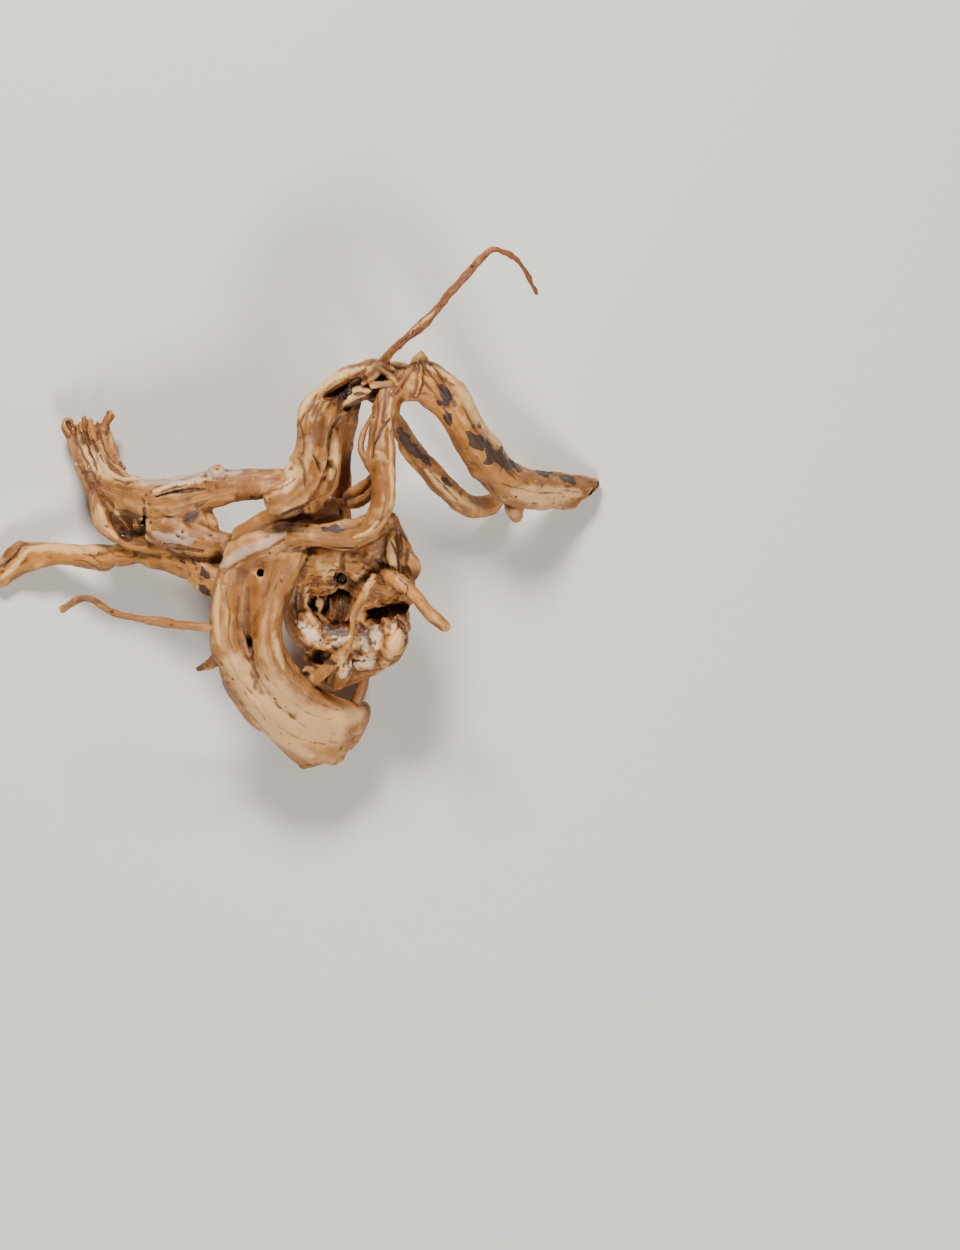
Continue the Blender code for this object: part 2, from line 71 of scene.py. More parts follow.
# The trunk is two strands with a valley between them, which merge and flare into a broken blade.
TRUNK = {
    "trunk_left": (1.0, [
        (-16, -16.5, 70, 8), (-25.5, -24, 74, 9.5), (-32, -36.5, 78, 9.2), (-33.5, -50, 79, 9),
        (-33.5, -64, 77, 9), (-29, -78, 70, 9.5), (-21, -90, 57, 9.5), (-13, -101.5, 42, 9),
        (-3.5, -113, 24, 7.8), (3, -122, 8, 7), (4.5, -126, 2.5, 5),
    ]),
    "trunk_right": (1.0, [
        (-1, -14, 74, 8.5), (-4, -26.5, 79, 9), (-9.5, -43, 82, 8.2), (-12.8, -56.5, 82, 7.6),
        (-12.8, -69, 79, 8.5), (-8, -81.5, 70, 10), (0.5, -93, 56, 11), (12, -101, 42, 10.5),
        (23, -103.5, 32, 9.5), (31, -101.5, 25, 7.5), (35, -98.5, 21, 4.5),
    ]),
    "trunk_middle": (1.0, [
        (-18, -75, 66, 9), (-11, -89, 60, 12), (0, -101.5, 42, 12.5), (10.5, -111.5, 25, 12),
        (18, -118, 8, 10), (20.5, -120, 2, 7.5),
    ]),
    "trunk_valley": (1.0, [
        (-16, -23, 74, 9.5), (-22, -36.5, 77, 9.8), (-25, -48, 77, 9), (-25, -55, 75, 8),
    ]),
    "trunk_heel": (1.0, [(-26, -89, 60, 7), (-19.5, -99, 48, 7.8), (-13, -106.5, 38, 6)]),
    "blade_corner": (1.0, [(-2, -94, 58, 10), (9, -104, 43, 12), (20, -108, 31, 11), (27.5, -108, 23, 8)]),
    "blade_edge": (1.0, [
        (-1, -121, 11, 6), (5, -125, 5, 5.2), (13, -123, 4.5, 6), (21, -118.5, 6.5, 6.5),
        (27.5, -112, 11, 6.2), (32, -104.5, 17, 6), (34.5, -98, 21, 4.5),
    ]),
    "heart": (1.0, [(-22, -24, 60, 11), (-2, -20, 58, 13), (15.5, -18, 54, 13), (33, -22, 54, 12)]),
    "mid_bulge": (1.0, [
        (-30, -14, 70, 6), (-20, -9, 76, 7), (-13, -6, 79, 7.5), (-6, -4, 81, 8), (4.5, -1, 81, 7.5),
        (14, 1, 76, 6.5), (20.5, 2, 68, 6),
    ]),
    "bulge_to_arch": (1.0, [(7.5, 11, 92, 8), (8.5, 5, 86, 8), (9, -1, 80, 8)]),
    "bulge_bridge": (1.0, [(2, -9, 74, 6.5), (13, -8, 71, 6.5), (24, -8, 66, 7)]),
}

# The left limb parts round a hole and ends in a frayed neck. The curled limb lies below it.
LEFT_LIMBS = {
    "upper_band": (1.0, [
        (3, 15, 66, 7.5), (-9.5, 15, 66, 8), (-22, 14, 66, 8), (-34.5, 12.5, 64, 9), (-47, 9, 62, 10),
        (-61, 6, 60, 10.5), (-74.5, 6, 56, 10.5), (-86, 9, 49, 10), (-94, 15, 38, 9.8), (-99, 24, 26, 10.2),
        (-102, 31.5, 14, 10.8), (-104, 38, 8, 10.5), (-104.5, 41, 6, 9),
    ]),
    "lower_band": (1.0, [
        (-72, -4, 54, 10), (-63, -8, 57, 11), (-53, -12, 60, 10.5), (-41, -16, 64, 8.5),
        (-30, -17.5, 66, 7.5), (-18, -16.5, 68, 8),
    ]),
    "band_join": (1.0, [(-80, 0, 48, 9), (-68, -1, 54, 10), (-56, -2, 58, 9), (-50, 0, 60, 7)]),
    "band_web": (1.0, [(-52, 4, 61, 7), (-46.5, -1, 61, 6.5), (-44, -8, 61, 6.5)]),
    "pocket_back": (1.0, [(-94, 6, 38, 8), (-84, -4, 36, 8), (-70, -10, 44, 9)]),
    "pocket_rim": (1.0, [
        (-97, 12, 42, 7), (-97.5, 1, 43, 6), (-95, -7, 43, 4.4), (-90, -12.5, 44, 3.3), (-83, -16.3, 46, 3),
        (-74, -18, 50, 3.6), (-63, -17, 55, 5.5),
    ]),
    "band_knot": (1.0, [(-39, 14, 68, 6), (-38.5, 18.5, 68, 4.4), (-38, 20.8, 68, 3)]),
    "curled_limb": (1.0, [
        (-152, -35.5, 3.2, 4), (-146, -30, 4.2, 6), (-140, -24.5, 6.2, 7.5), (-133.5, -21.5, 9, 7.6),
        (-123, -20, 15, 6.4), (-109.5, -21.2, 22, 5.6), (-98.5, -23, 28, 6.4), (-87, -20.5, 34, 6),
        (-74.5, -21.5, 40, 6.3), (-62, -23.5, 46, 7.3), (-50, -28.5, 53, 8.3), (-38, -34, 60, 9.2),
        (-27, -38, 64, 9),
    ]),
}

# The arch rises from a blunt knob and meets the right limb and the front tube at the top of the root.
ARCH = {
    "arch": (1.0, [
        (-13, 4, 100, 6.5), (-7, 6, 101, 9.5), (0.5, 10.5, 100, 10), (6, 19, 98, 9.8), (9.5, 31, 96, 8.8),
        (11, 43.5, 95, 9), (14.5, 52, 94, 9), (19.5, 60, 95, 7.5), (26, 66, 95, 6), (33, 69.5, 93, 5.4),
        (41, 70.5, 90, 6), (50, 68, 88, 7),
    ]),
    "arch_foot": (1.0, [(-4, 8, 98, 8), (4, 11.5, 97, 8), (12, 15.5, 95, 8), (17, 20, 92, 6)]),
    "arch_shelf": (0.8, [
        (15.5, 48, 88, 7.5), (22, 51.5, 87, 6), (28, 55.5, 86, 5), (34, 58.5, 86, 5), (43, 61, 87, 6),
    ]),
    "arch_inner": (1.0, [
        (25.5, 50, 80, 4), (21.5, 43, 84, 4), (20, 33, 87, 4.8), (19.5, 22, 89, 4.8), (17, 12, 89, 5),
        (10, 6, 90, 5.5),
    ]),
    "back_tube": (1.0, [
        (31, 57, 80, 4.3), (28.5, 47, 71, 4), (26.8, 36, 62, 3.9), (25.5, 24, 57, 3.9), (24.5, 13, 55, 4.6),
        (23, 4, 54, 6.5), (22, -4, 54, 8.5), (22, -11, 56, 9),
    ]),
    "front_tube": (1.0, [
        (53, 71, 88, 6.5), (50, 62, 92, 6.8), (46.5, 52, 97, 6.8), (44, 41, 101, 6.2), (44, 30, 103, 6.2),
        (45, 18.5, 103, 5.8), (45.5, 7.5, 102, 5.8), (43, -2.5, 100, 6.2), (36.5, -9, 97, 6.3),
        (28, -12, 95, 6.1), (18, -12.5, 93, 5.9), (8, -11.5, 91, 6.4), (-2, -11.5, 87, 7.4),
        (-11, -14.5, 82, 8.4), (-19, -20, 76, 9.4),
    ]),
    "right_limb": (1.0, [
        (45.5, 66, 84, 6), (53, 65.5, 86, 7.5), (61, 64.5, 88, 8.8), (69.5, 62, 88, 10.2),
        (77.5, 55.5, 86, 11), (84.5, 44, 80, 10.4), (92, 32.5, 70, 10), (100, 22, 58, 10.2),
        (108.5, 13.5, 45, 10.6), (119.5, 12, 32, 10.2), (131, 11.5, 20, 9.5), (141, 11, 9.5, 8.6),
        (148, 12.5, 5.5, 7.6), (153, 14.5, 4.5, 5),
    ]),
    "right_limb_ridge": (1.0, [
        (63, 72, 90, 4), (72, 68.5, 91, 4.5), (79.5, 61.5, 89, 4.5), (86, 50.5, 83, 4), (94, 38.5, 74, 4),
        (102, 28.5, 63, 4), (110, 21, 51, 4),
    ]),
    "right_peak": (1.0, [
        (59, 62, 87, 8), (62, 69, 88, 7.8), (62.8, 73, 89.5, 5), (63.4, 76.8, 90.5, 2.5),
        (63.9, 80.2, 91, 0.9),
    ]),
    "back_limb": (1.0, [
        (35, 64, 86, 5), (45.5, 55, 77, 4.8), (52, 42, 66, 4.5), (59.5, 31.5, 57, 5), (67.5, 21.5, 47, 5.5),
        (76, 13, 36, 5.8), (84, 5.5, 26, 6.7), (91.5, 2.5, 18, 7), (98.5, 5.5, 13, 5.8),
        (104.5, 9.5, 11, 4.8),
    ]),
}

# The knot at the right of the trunk is a lump with deep hollows, ringed by lobes.
KNOT = {
    "knot_top": (1.0, [
        (-4.5, -25, 66, 9), (8, -25, 68, 9.8), (20.5, -24.5, 69, 10.3), (32, -25.5, 69.5, 10.6),
        (43, -28, 69, 9.5),
    ]),
    "knot_brow": (1.0, [
        (3, -32, 60, 8), (14, -34.5, 61, 7), (26, -34.5, 64, 7), (36, -37, 66, 8), (47, -38, 65, 8),
    ]),
    "knot_shoulder": (1.0, [(34, -21, 72, 9), (43, -15, 74, 8), (48, -7, 78, 6.5), (48, -1, 84, 5)]),
    "knot_core_left": (1.0, [(6, -32, 52, 12), (14, -46, 42, 14), (24, -60, 41, 13)]),
    "knot_core_middle": (1.0, [(24, -34, 50, 11), (28, -45, 42, 12), (31, -58, 42, 12)]),
    "knot_core_right": (1.0, [(38, -30, 52, 13), (42, -46, 46, 14), (40, -62, 46, 13)]),
    "knot_right": (1.0, [
        (48, 0, 84, 4.5), (51, -9, 78, 6), (53.5, -20, 72, 7), (54, -32, 66, 7.5), (52, -44, 62, 7),
        (49.5, -56.5, 58, 7), (47, -68, 54, 7.5), (43, -73, 52, 7.5),
    ]),
    "knot_left": (1.0, [
        (5.5, -30, 62, 8.5), (1.5, -40, 58, 8), (1, -50, 57, 7.8), (4, -60, 56, 8), (12, -64.5, 54, 8),
    ]),
    "knot_saddle": (1.0, [(12, -64, 54, 7.5), (21, -63, 56, 7.5), (30, -65, 57, 7.5), (38, -70, 54, 7)]),
    "knot_bottom": (1.0, [
        (43, -73, 52, 6.5), (39, -75, 48, 7), (31, -79, 44, 6.5), (23, -82, 40, 6), (16, -86, 38, 6),
        (10, -90, 40, 6.5),
    ]),
    "knot_pale_lobe": (1.0, [(42, -56, 61, 4.5), (41, -62, 61, 6), (42, -69, 59, 6.3)]),
    "knot_boss": (1.0, [(52, -22, 76, 4), (58, -26.5, 74, 4.4), (58, -33, 70, 4)]),
}

# Hollows and cracks, cut out of the thick limbs before the thin ones are joined on.
HOLLOWS = {
    "knot_hollow_left": (1.0, [
        (20, -47.5, 92, 9), (20, -47.5, 64, 11), (20.5, -48, 55, 9), (21, -48, 50, 5),
    ]),
    "knot_hollow_crescent": (1.0, [
        (9.5, -44.5, 76, 3), (10.5, -46, 58, 4), (11.5, -48, 44, 3.4), (12, -48, 38, 2),
    ]),
    "knot_hollow_right": (3.0, [
        (33.5, -52, 63, 4.8), (40, -51, 64, 5.9), (47, -48.8, 66, 5.2), (57, -46, 70, 3),
    ]),
    "knot_pit": (1.0, [
        (23.6, -31.4, 84, 0.8), (22.8, -33, 72, 1), (21.3, -36, 62, 1.6), (19.8, -39, 56, 1.5),
    ]),
    "pocket": (2.0, [
        (-91, 0.5, 60, 1.2), (-87, -0.5, 59.5, 2.2), (-82.5, -3, 59, 3), (-77, -7.5, 59, 2.2),
    ]),
    "pocket_deep": (2.0, [
        (-87, -7.5, 56, 1.6), (-83, -9.5, 54, 3.2), (-78, -10, 54, 3.8), (-74, -8, 56, 2.4),
    ]),
    "pocket_crease": (3.0, [(-75, 6.5, 60, 0.8), (-74.4, 1, 58, 1.7), (-74.5, -6, 57, 1.8)]),
    "band_crack": (2.0, [
        (-70, 7.5, 68, 0.7), (-63, 9.5, 70.5, 1.2), (-52, 10.5, 72, 1.2), (-44, 12, 72.5, 0.7),
    ]),
    "arch_crevice": (2.5, [
        (15, 56.3, 102, 0.8), (20, 58.5, 101, 2.2), (26, 61.3, 98, 2.4), (32, 63.5, 96, 1.8),
    ]),
    "top_knot_hole": (1.0, [(44.5, 67.4, 104, 1.7), (44.5, 67, 92, 1.6), (44.5, 66.6, 86, 1.2)]),
    "trunk_pit": (1.0, [(-16, -30.5, 98, 1.8), (-16, -30.5, 80, 1.4)]),
    "neck_pit": (1.0, [(-103.5, 20.5, 50, 2.2), (-103, 20, 33, 1.6)]),
    "broken_end": (1.0, [(141, -9, 8, 8), (146, -4, 8, 10), (159.5, 8.5, 8, 10), (164, 12, 8, 8)]),
}

TWIGS = {
    "left_twig": (1.0, [
        (-116, -49.5, 97, 2.2), (-112, -47, 97, 1.9), (-107, -44, 96, 1.8), (-101.5, -43, 95, 1.8),
        (-96.5, -45.5, 94, 1.9), (-91.5, -49.5, 93, 2), (-85.5, -51.5, 92, 1.8), (-79.5, -52.8, 91, 1.7),
        (-67, -54.8, 88, 1.8), (-58.5, -56.3, 86, 2), (-49.5, -57, 84, 1.9), (-39.5, -58, 81, 2.5),
    ]),
    "top_twig": (1.0, [
        (43, 69, 90, 2.8), (45, 75, 97, 2.2), (53, 82.5, 106, 2), (62, 90, 113, 2), (70, 97.5, 119, 2.1),
        (76, 104.5, 124, 2.1), (82, 111.5, 128, 2), (89, 119, 131, 2), (95, 125.5, 133, 2),
        (99.5, 129, 133, 2.1), (104.5, 127.5, 131, 1.8), (110, 125, 127, 1.8), (114.5, 119.5, 121, 1.8),
        (118, 113.5, 114, 1.6), (121.5, 107.5, 107, 1.3),
    ]),
    "right_twig": (1.0, [
        (36, -29, 66, 5), (42, -30, 74, 4.2), (48.5, -32.4, 81, 3.3), (53, -35.4, 85, 3.5),
        (57.5, -38.5, 87, 2.9), (62, -43, 89, 3.2), (66, -48.8, 90, 2.8), (69.5, -52.3, 90, 3.4),
        (73.2, -55.6, 89.6, 3.2), (76, -57.8, 89, 3.1),
    ]),
    "knot_strand": (1.0, [
        (38, -28, 69, 5), (41, -32.5, 77, 4.4), (37, -38, 81, 3.6), (32.6, -44.5, 82.5, 2.7),
        (30.5, -52, 82.5, 2.2), (29.5, -59, 81.5, 2.3), (28.3, -65.5, 79, 2.6), (24.5, -71.5, 75, 3.2),
        (18, -77, 67, 3.6), (11.5, -82.5, 57, 3.6), (6.5, -85.5, 49, 4),
    ]),
    "knot_flute": (1.0, [(27, -42, 52, 4.5), (23.5, -48, 52, 6.5), (21, -54, 48, 4.5)]),
    "knot_strut": (1.0, [(36, -78, 43, 3.5), (34.5, -86, 38, 2.8), (31, -95, 34, 3)]),
    "side_strand": (1.0, [
        (42, 50, 93, 3), (37, 43.5, 94, 2.2), (34.3, 36, 95, 2.1), (33.8, 31, 96, 2.2), (36, 26.5, 98, 2.3),
        (38.5, 22, 99, 2.6), (42, 18, 100, 3),
    ]),
    "hanging_flap": (1.0, [
        (22, 4, 60, 3), (27, 4, 66, 2.6), (33, 4.8, 76, 2.4), (38.5, 8.5, 88, 2.3), (42, 14, 97, 2.4),
    ]),
    "pocket_rib": (1.0, [
        (-90, 1, 57, 0.9), (-87.5, -2.5, 56, 1.2), (-84.5, -6, 54.5, 1.1), (-83, -9, 52, 0.9),
    ]),
    "pocket_rib_2": (1.0, [
        (-85, 2.5, 57, 0.9), (-81, -0.5, 56, 1.2), (-79.8, -4.5, 55, 1.1), (-80, -9, 52, 0.9),
    ]),
    "right_nub": (1.0, [(110, 6, 38, 5.5), (111, 0, 32, 4), (111.5, -3.5, 29, 2.2)]),
    "trunk_spur": (1.0, [(-36, -73, 68, 6), (-44.5, -77, 63, 3), (-48.5, -78.5, 60, 1.6)]),
}

# Splinters fan out of the frayed neck.
SPLINTERS = {
    "splinter_1": (1.0, [
        (-96, 2, 46, 2.4), (-103, 12, 38, 2.8), (-108, 23, 27, 3), (-112, 36, 17, 3.4), (-116, 43, 13, 3),
        (-114.5, 47, 12, 2.2),
    ]),
    "splinter_2": (1.0, [
        (-90, 4, 54, 1.8), (-98, 12, 46.5, 2.3), (-103.5, 22, 35.5, 2.5), (-107.5, 33, 21, 2.6),
        (-110, 44, 17, 1.8),
    ]),
    "splinter_3": (1.0, [
        (-84, 10, 57.5, 1.8), (-93, 14, 48, 2.3), (-99, 23, 36.5, 2.3), (-103.5, 34, 21, 2.3),
        (-106.5, 48.5, 20, 1.4),
    ]),
    "splinter_4": (1.0, [(-101, 33, 22, 3.6), (-103, 42, 23, 2.2), (-103, 47.5, 22, 1.7)]),
    "splinter_5": (1.0, [
        (-78, 13, 59, 1.8), (-88, 17.5, 48, 2.4), (-94.5, 25, 35, 2.6), (-97.5, 36, 21, 2.8),
        (-96.5, 44, 20, 2.2), (-92.5, 50, 20, 1.8),
    ]),
    "splinter_6": (1.0, [(-100, 34, 14, 4), (-99.5, 42, 13, 2.6), (-100, 46.5, 12, 1.6)]),
    "splinter_7": (1.0, [(-106, 31, 10, 4.5), (-110, 41, 7, 3), (-112.5, 45, 6, 2.2)]),
    "splinter_8": (1.0, [(-100, 32, 10, 4.5), (-97, 41, 7, 3), (-95.5, 46, 6, 2)]),
}

# Folds and ribs too small for the plain solid.
FOLDS = {
    "peak_ridge_left": (1.0, [
        (63.2, 76, 91, 1.1), (59, 70.5, 95, 1.9), (54, 64.5, 97, 2), (49, 56, 100, 1.4),
    ]),
    "peak_ridge_right": (1.0, [
        (63.8, 76, 91, 1.1), (68, 71, 95, 1.9), (74, 62.5, 96.5, 2), (80.5, 52, 94, 1.4),
    ]),
    "peak_ridge_middle": (1.0, [
        (63.4, 76, 91.5, 1), (63.5, 70, 96, 1.7), (63, 62, 98, 1.8), (61, 57, 97, 1.2),
    ]),
    "neck_fibre_1": (1.0, [
        (-109, 46, 17, 1.1), (-105.5, 36, 22.5, 1.3), (-101, 25, 36.3, 1.4), (-95, 15, 48.4, 1.2),
        (-88, 9, 57, 0.8),
    ]),
    "neck_fibre_2": (1.0, [
        (-105, 48, 17, 1), (-101.5, 36, 24, 1.3), (-97.5, 26, 36.5, 1.4), (-92, 17.5, 47.5, 1.2),
        (-85, 12.5, 57, 0.8),
    ]),
    "neck_fibre_3": (1.0, [
        (-98.5, 46, 17, 1), (-98, 36, 22.5, 1.3), (-94, 27, 34.5, 1.3), (-88, 20, 46, 1.1),
        (-79, 16.5, 58, 0.8),
    ]),
    "neck_fibre_4": (1.0, [
        (-113.5, 40, 14, 1), (-109.5, 30, 24, 1.3), (-105, 20, 37, 1.3), (-100, 12, 44.5, 1),
    ]),
    "neck_fibre_5": (1.0, [
        (-95, 45, 17, 1), (-94.5, 36, 20.5, 1.2), (-91, 28.5, 31, 1.2), (-85, 22, 43, 1),
    ]),
    "twist_strand_1": (1.0, [
        (34, 63, 96, 1.2), (39.5, 66, 98, 1.5), (44, 70.5, 97, 1.5), (47, 74.5, 96, 1.3),
    ]),
    "twist_strand_2": (1.0, [
        (40, 73.5, 94.5, 1.3), (43.5, 70, 98, 1.5), (49, 66.5, 99, 1.5), (53, 60.5, 98, 1.2),
    ]),
    "tan_lobe_1": (0.8, [
        (47.5, -53, 61, 4), (48.5, -60, 61.5, 6), (47, -67, 59.5, 6), (44.5, -72.5, 56, 4.5),
    ]),
    "tan_lobe_2": (0.8, [
        (51, -57, 58, 4), (52.5, -63, 57, 5), (50.5, -69, 55.5, 4.6), (47.5, -74.5, 52, 3.4),
    ]),
    "cheek_lobe": (0.8, [(2.5, -48, 61, 4), (4, -56, 61, 6.4), (9, -62, 59.5, 6.2), (15, -65, 58, 4)]),
    "valley_ridge": (1.0, [
        (-26.5, -56, 82, 1.8), (-25.6, -62, 81, 2), (-23.6, -68, 78.5, 2), (-20, -73, 75, 1.8),
    ]),
    "valley_bump": (0.8, [(-24, -52, 77, 2), (-23.2, -55.5, 77.5, 3.2), (-22.4, -58.5, 76, 2.2)]),
    "flute_swell": (1.0, [(27, -41.5, 53, 6), (24, -48, 54, 7.6), (21.5, -54.5, 50, 5.5)]),
    "flute_rib_1": (1.0, [(18.4, -42.5, 57.5, 1.2), (18.8, -49, 59.5, 1.3), (20.3, -56, 54, 0.9)]),
    "flute_rib_2": (1.0, [(22, -41, 59, 1.2), (21.8, -48, 61.2, 1.1), (21.5, -56.5, 54.5, 0.9)]),
    "flute_rib_3": (1.0, [(25.3, -40.5, 59.5, 1.2), (24.5, -48, 61.8, 1.1), (22.5, -57, 54.5, 0.9)]),
    "flute_rib_4": (1.0, [(28.5, -41, 58.5, 1.2), (27.2, -48.5, 61, 1.1), (24, -56.5, 54, 0.9)]),
    "fold_upper": (1.0, [(6, -70, 56, 1.8), (11, -67.5, 60, 2), (18, -68.5, 61, 2), (22.5, -73, 58, 1.8)]),
    "fold_lower": (1.0, [(5, -71.5, 50, 1.8), (10, -76.5, 51, 2), (17.5, -79, 52, 2)]),
    "bottom_swell": (1.0, [(24, -68, 54, 6), (23.5, -77, 48, 6.5), (21, -85, 41, 5)]),
    "bottom_rib_1": (1.0, [(20.5, -71, 59, 1.6), (19.5, -79, 53, 1.5), (17, -86, 45.5, 1.2)]),
    "bottom_rib_2": (1.0, [(24, -71, 59, 1.5), (23.5, -79, 53, 1.5), (21.5, -87, 45, 1.2)]),
    "bottom_rib_3": (1.0, [(28, -71, 59, 1.6), (27.5, -77.5, 53, 1.5), (26, -84, 47, 1.2)]),
    "strand_end_1": (1.0, [(11, -80, 58, 2.2), (7, -78.5, 56, 1.8), (5, -80.5, 54, 1.3)]),
    "strand_end_2": (1.0, [(12, -83, 55, 2.4), (7, -82.5, 53, 2), (4.8, -84.5, 51, 1.4)]),
    "ragged_1": (1.0, [(55, -14, 77, 3), (57.5, -18, 77, 2.4), (58.5, -22, 76, 2)]),
    "ragged_2": (1.0, [(56, -20, 77, 3), (60.5, -24.5, 76, 2.6), (62, -29, 73, 2.6), (60, -33, 71, 2.4)]),
    "ragged_3": (1.0, [(53, -10, 80, 2.4), (55, -16, 79, 2.4), (56, -26, 76, 2.2), (55, -34, 73, 2.4)]),
    "ragged_4": (0.9, [
        (49.5, -11, 82, 2.2), (48.6, -17, 81, 3.6), (50, -24.5, 79, 3.9), (52, -31, 75.5, 2.8),
    ]),
    "ragged_9": (1.0, [(45, -20, 78, 2), (46.5, -26, 77, 2.4), (49.5, -33, 74, 2.6), (54, -38, 71, 2)]),
    "ragged_5": (1.0, [(52, -42, 69, 3), (57, -43, 69, 2.4), (58.5, -46, 67, 1.8)]),
    "ragged_6": (1.0, [(50, -52, 65, 3), (55.5, -54, 64, 2.6), (56.5, -59, 61, 2.6)]),
    "ragged_8": (1.0, [(44, -66, 63, 2.6), (47, -71, 60, 3), (51, -72, 57, 2.4)]),
    "white_lobe_1": (0.8, [
        (40.5, -55, 62, 4), (40.5, -60, 62.5, 5.6), (42, -65, 61.5, 5.6), (43, -69, 59, 4),
    ]),
    "white_lobe_2": (0.7, [(35, -60, 61, 2), (35.8, -66, 61, 3.4), (33, -71, 58.5, 2.6)]),
    "white_lobe_3": (0.9, [(32, -76.5, 52, 3), (35.5, -74, 54.5, 4.6), (41.5, -74.5, 54.5, 4.4)]),
    "white_lobe_4": (0.7, [(15.5, -65.5, 58.5, 2), (20.5, -67, 60, 3.2), (27, -63.5, 60, 2.4)]),
    "saddle_lobe": (0.7, [(24, -62, 60, 2.2), (29, -66, 60.5, 3.6), (31, -72, 58, 3)]),
    "flap_leaf": (0.5, [(25, 7, 66, 2), (31, 10, 73, 3.4), (36.5, 13.5, 83, 3), (40, 18, 92, 1.6)]),
    "shelf_tooth_1": (1.0, [(36, 60, 90, 3), (30, 57, 92, 2.6), (25, 53.5, 93, 2.2), (24, 51, 92, 1.4)]),
    "shelf_tooth_2": (1.0, [(40, 59, 92, 3), (34, 61, 94, 2.2), (29, 59.5, 94.5, 1.6)]),
    "top_twist_1": (1.0, [(36, 66, 97, 2), (40, 71.5, 97, 2.6), (46, 72.5, 96, 2.4), (50, 69.5, 96, 2)]),
    "top_twist_2": (1.0, [(38, 62, 97, 2.4), (44, 63, 99, 2), (50, 63.5, 98, 2.2), (54, 69, 95, 2.4)]),
    "twig_braid_1": (1.0, [
        (45, 74, 98.5, 1.2), (54, 84, 108.5, 1.1), (61, 88, 113, 1.1), (71, 99.5, 121, 1.1),
        (77, 105, 125.5, 1),
    ]),
    "twig_braid_2": (1.0, [
        (46.5, 74.5, 96, 1.2), (53.5, 81.3, 105.5, 1.1), (64, 92, 115.5, 1.1), (70.5, 96.8, 119, 1.1),
        (79, 109, 127.5, 1),
    ]),
    "curl_rim": (1.0, [
        (-137, -14, 11.5, 2.2), (-143, -18.5, 9.5, 2.4), (-147.5, -25, 8, 2), (-148, -29, 8.5, 1.6),
    ]),
    "curl_bump_1": (1.0, [(-106, -18.5, 27, 2.4), (-99, -19.5, 31, 3.4), (-92, -18, 34, 2.6)]),
    "curl_bump_2": (1.0, [(-100, -26, 27, 2.4), (-96, -27, 29, 2.6), (-91, -24.5, 32, 2.4)]),
    "hooked_splinter": (1.0, [
        (-96.5, 44, 20, 2.2), (-93.5, 49, 21, 1.6), (-93.3, 51.2, 20, 1.7), (-95.6, 50.6, 19, 1),
    ]),
    "curled_splinter": (1.0, [
        (-113.5, 39, 18, 2), (-117, 44, 17, 1.6), (-116, 47.5, 16, 1.6), (-112.8, 46.5, 16, 1.4),
        (-112.8, 43.5, 17, 1.2),
    ]),
}

# Broad flat wood between the strands, and wood behind the deep cracks, so that no light shows through them.
BACKINGS = {
    "blade_face": (0.5, [
        (-24, -79, 66, 11), (-16, -86, 64, 15), (-5.5, -98, 52, 15.5), (6, -106.5, 40, 17),
        (14, -111, 31, 16), (20, -112.5, 24, 12),
    ]),
    "blade_face_right": (0.5, [
        (0, -94, 56, 10), (12, -102, 45, 12.5), (22, -104.5, 37, 12), (30, -103.5, 29, 8.5),
    ]),
    "blade_skirt_left": (1.0, [
        (-32, -80, 62, 8), (-25, -93, 49, 7), (-18, -101, 40, 7), (-9, -105, 32, 6.5), (-1.5, -113, 20, 7),
        (3, -122, 9, 6.5),
    ]),
    "blade_skirt_foot": (1.0, [
        (2, -120, 13, 7.5), (12, -119, 15, 8), (22, -114.5, 18, 8), (29.5, -107, 21, 7.5),
    ]),
    "trunk_cap": (0.6, [
        (1, -14, 85, 8.5), (-4.5, -24, 84.5, 10), (-8, -35, 84, 9.5), (-10.5, -47, 83.5, 7.5),
    ]),
    "trunk_shoulder": (0.6, [
        (-31, -26, 79, 9), (-21, -20.5, 83, 9.5), (-10, -17.5, 86, 9.5), (0, -15, 86.5, 8),
    ]),
    "valley_slope": (0.7, [
        (-14, -29, 84, 8), (-16.5, -41, 83, 8.5), (-17.5, -52, 81, 8.5), (-17, -60, 79, 7.5),
    ]),
    "peak_face": (0.5, [
        (63, 75, 92, 3), (61.5, 68.5, 93.5, 6.5), (59.5, 62, 94.5, 8.5), (58.5, 58.5, 93, 7.5),
    ]),
    "valley_back": (1.0, [(-23, -44, 70, 8), (-22.5, -58, 67, 8), (-21.5, -70, 63, 8)]),
    "crevice_back": (1.0, [
        (13, 50, 84, 6), (20, 55, 83, 6), (29, 60, 82, 5.5), (38, 63, 81, 6), (48, 63, 80, 6),
    ]),
    "fold_back": (1.0, [(6, -67, 46, 7), (14, -73, 45, 7.5), (22, -78, 43, 6.5)]),
    "slot_back": (1.0, [(31, -66, 50, 7), (35, -73, 48, 7)]),
}

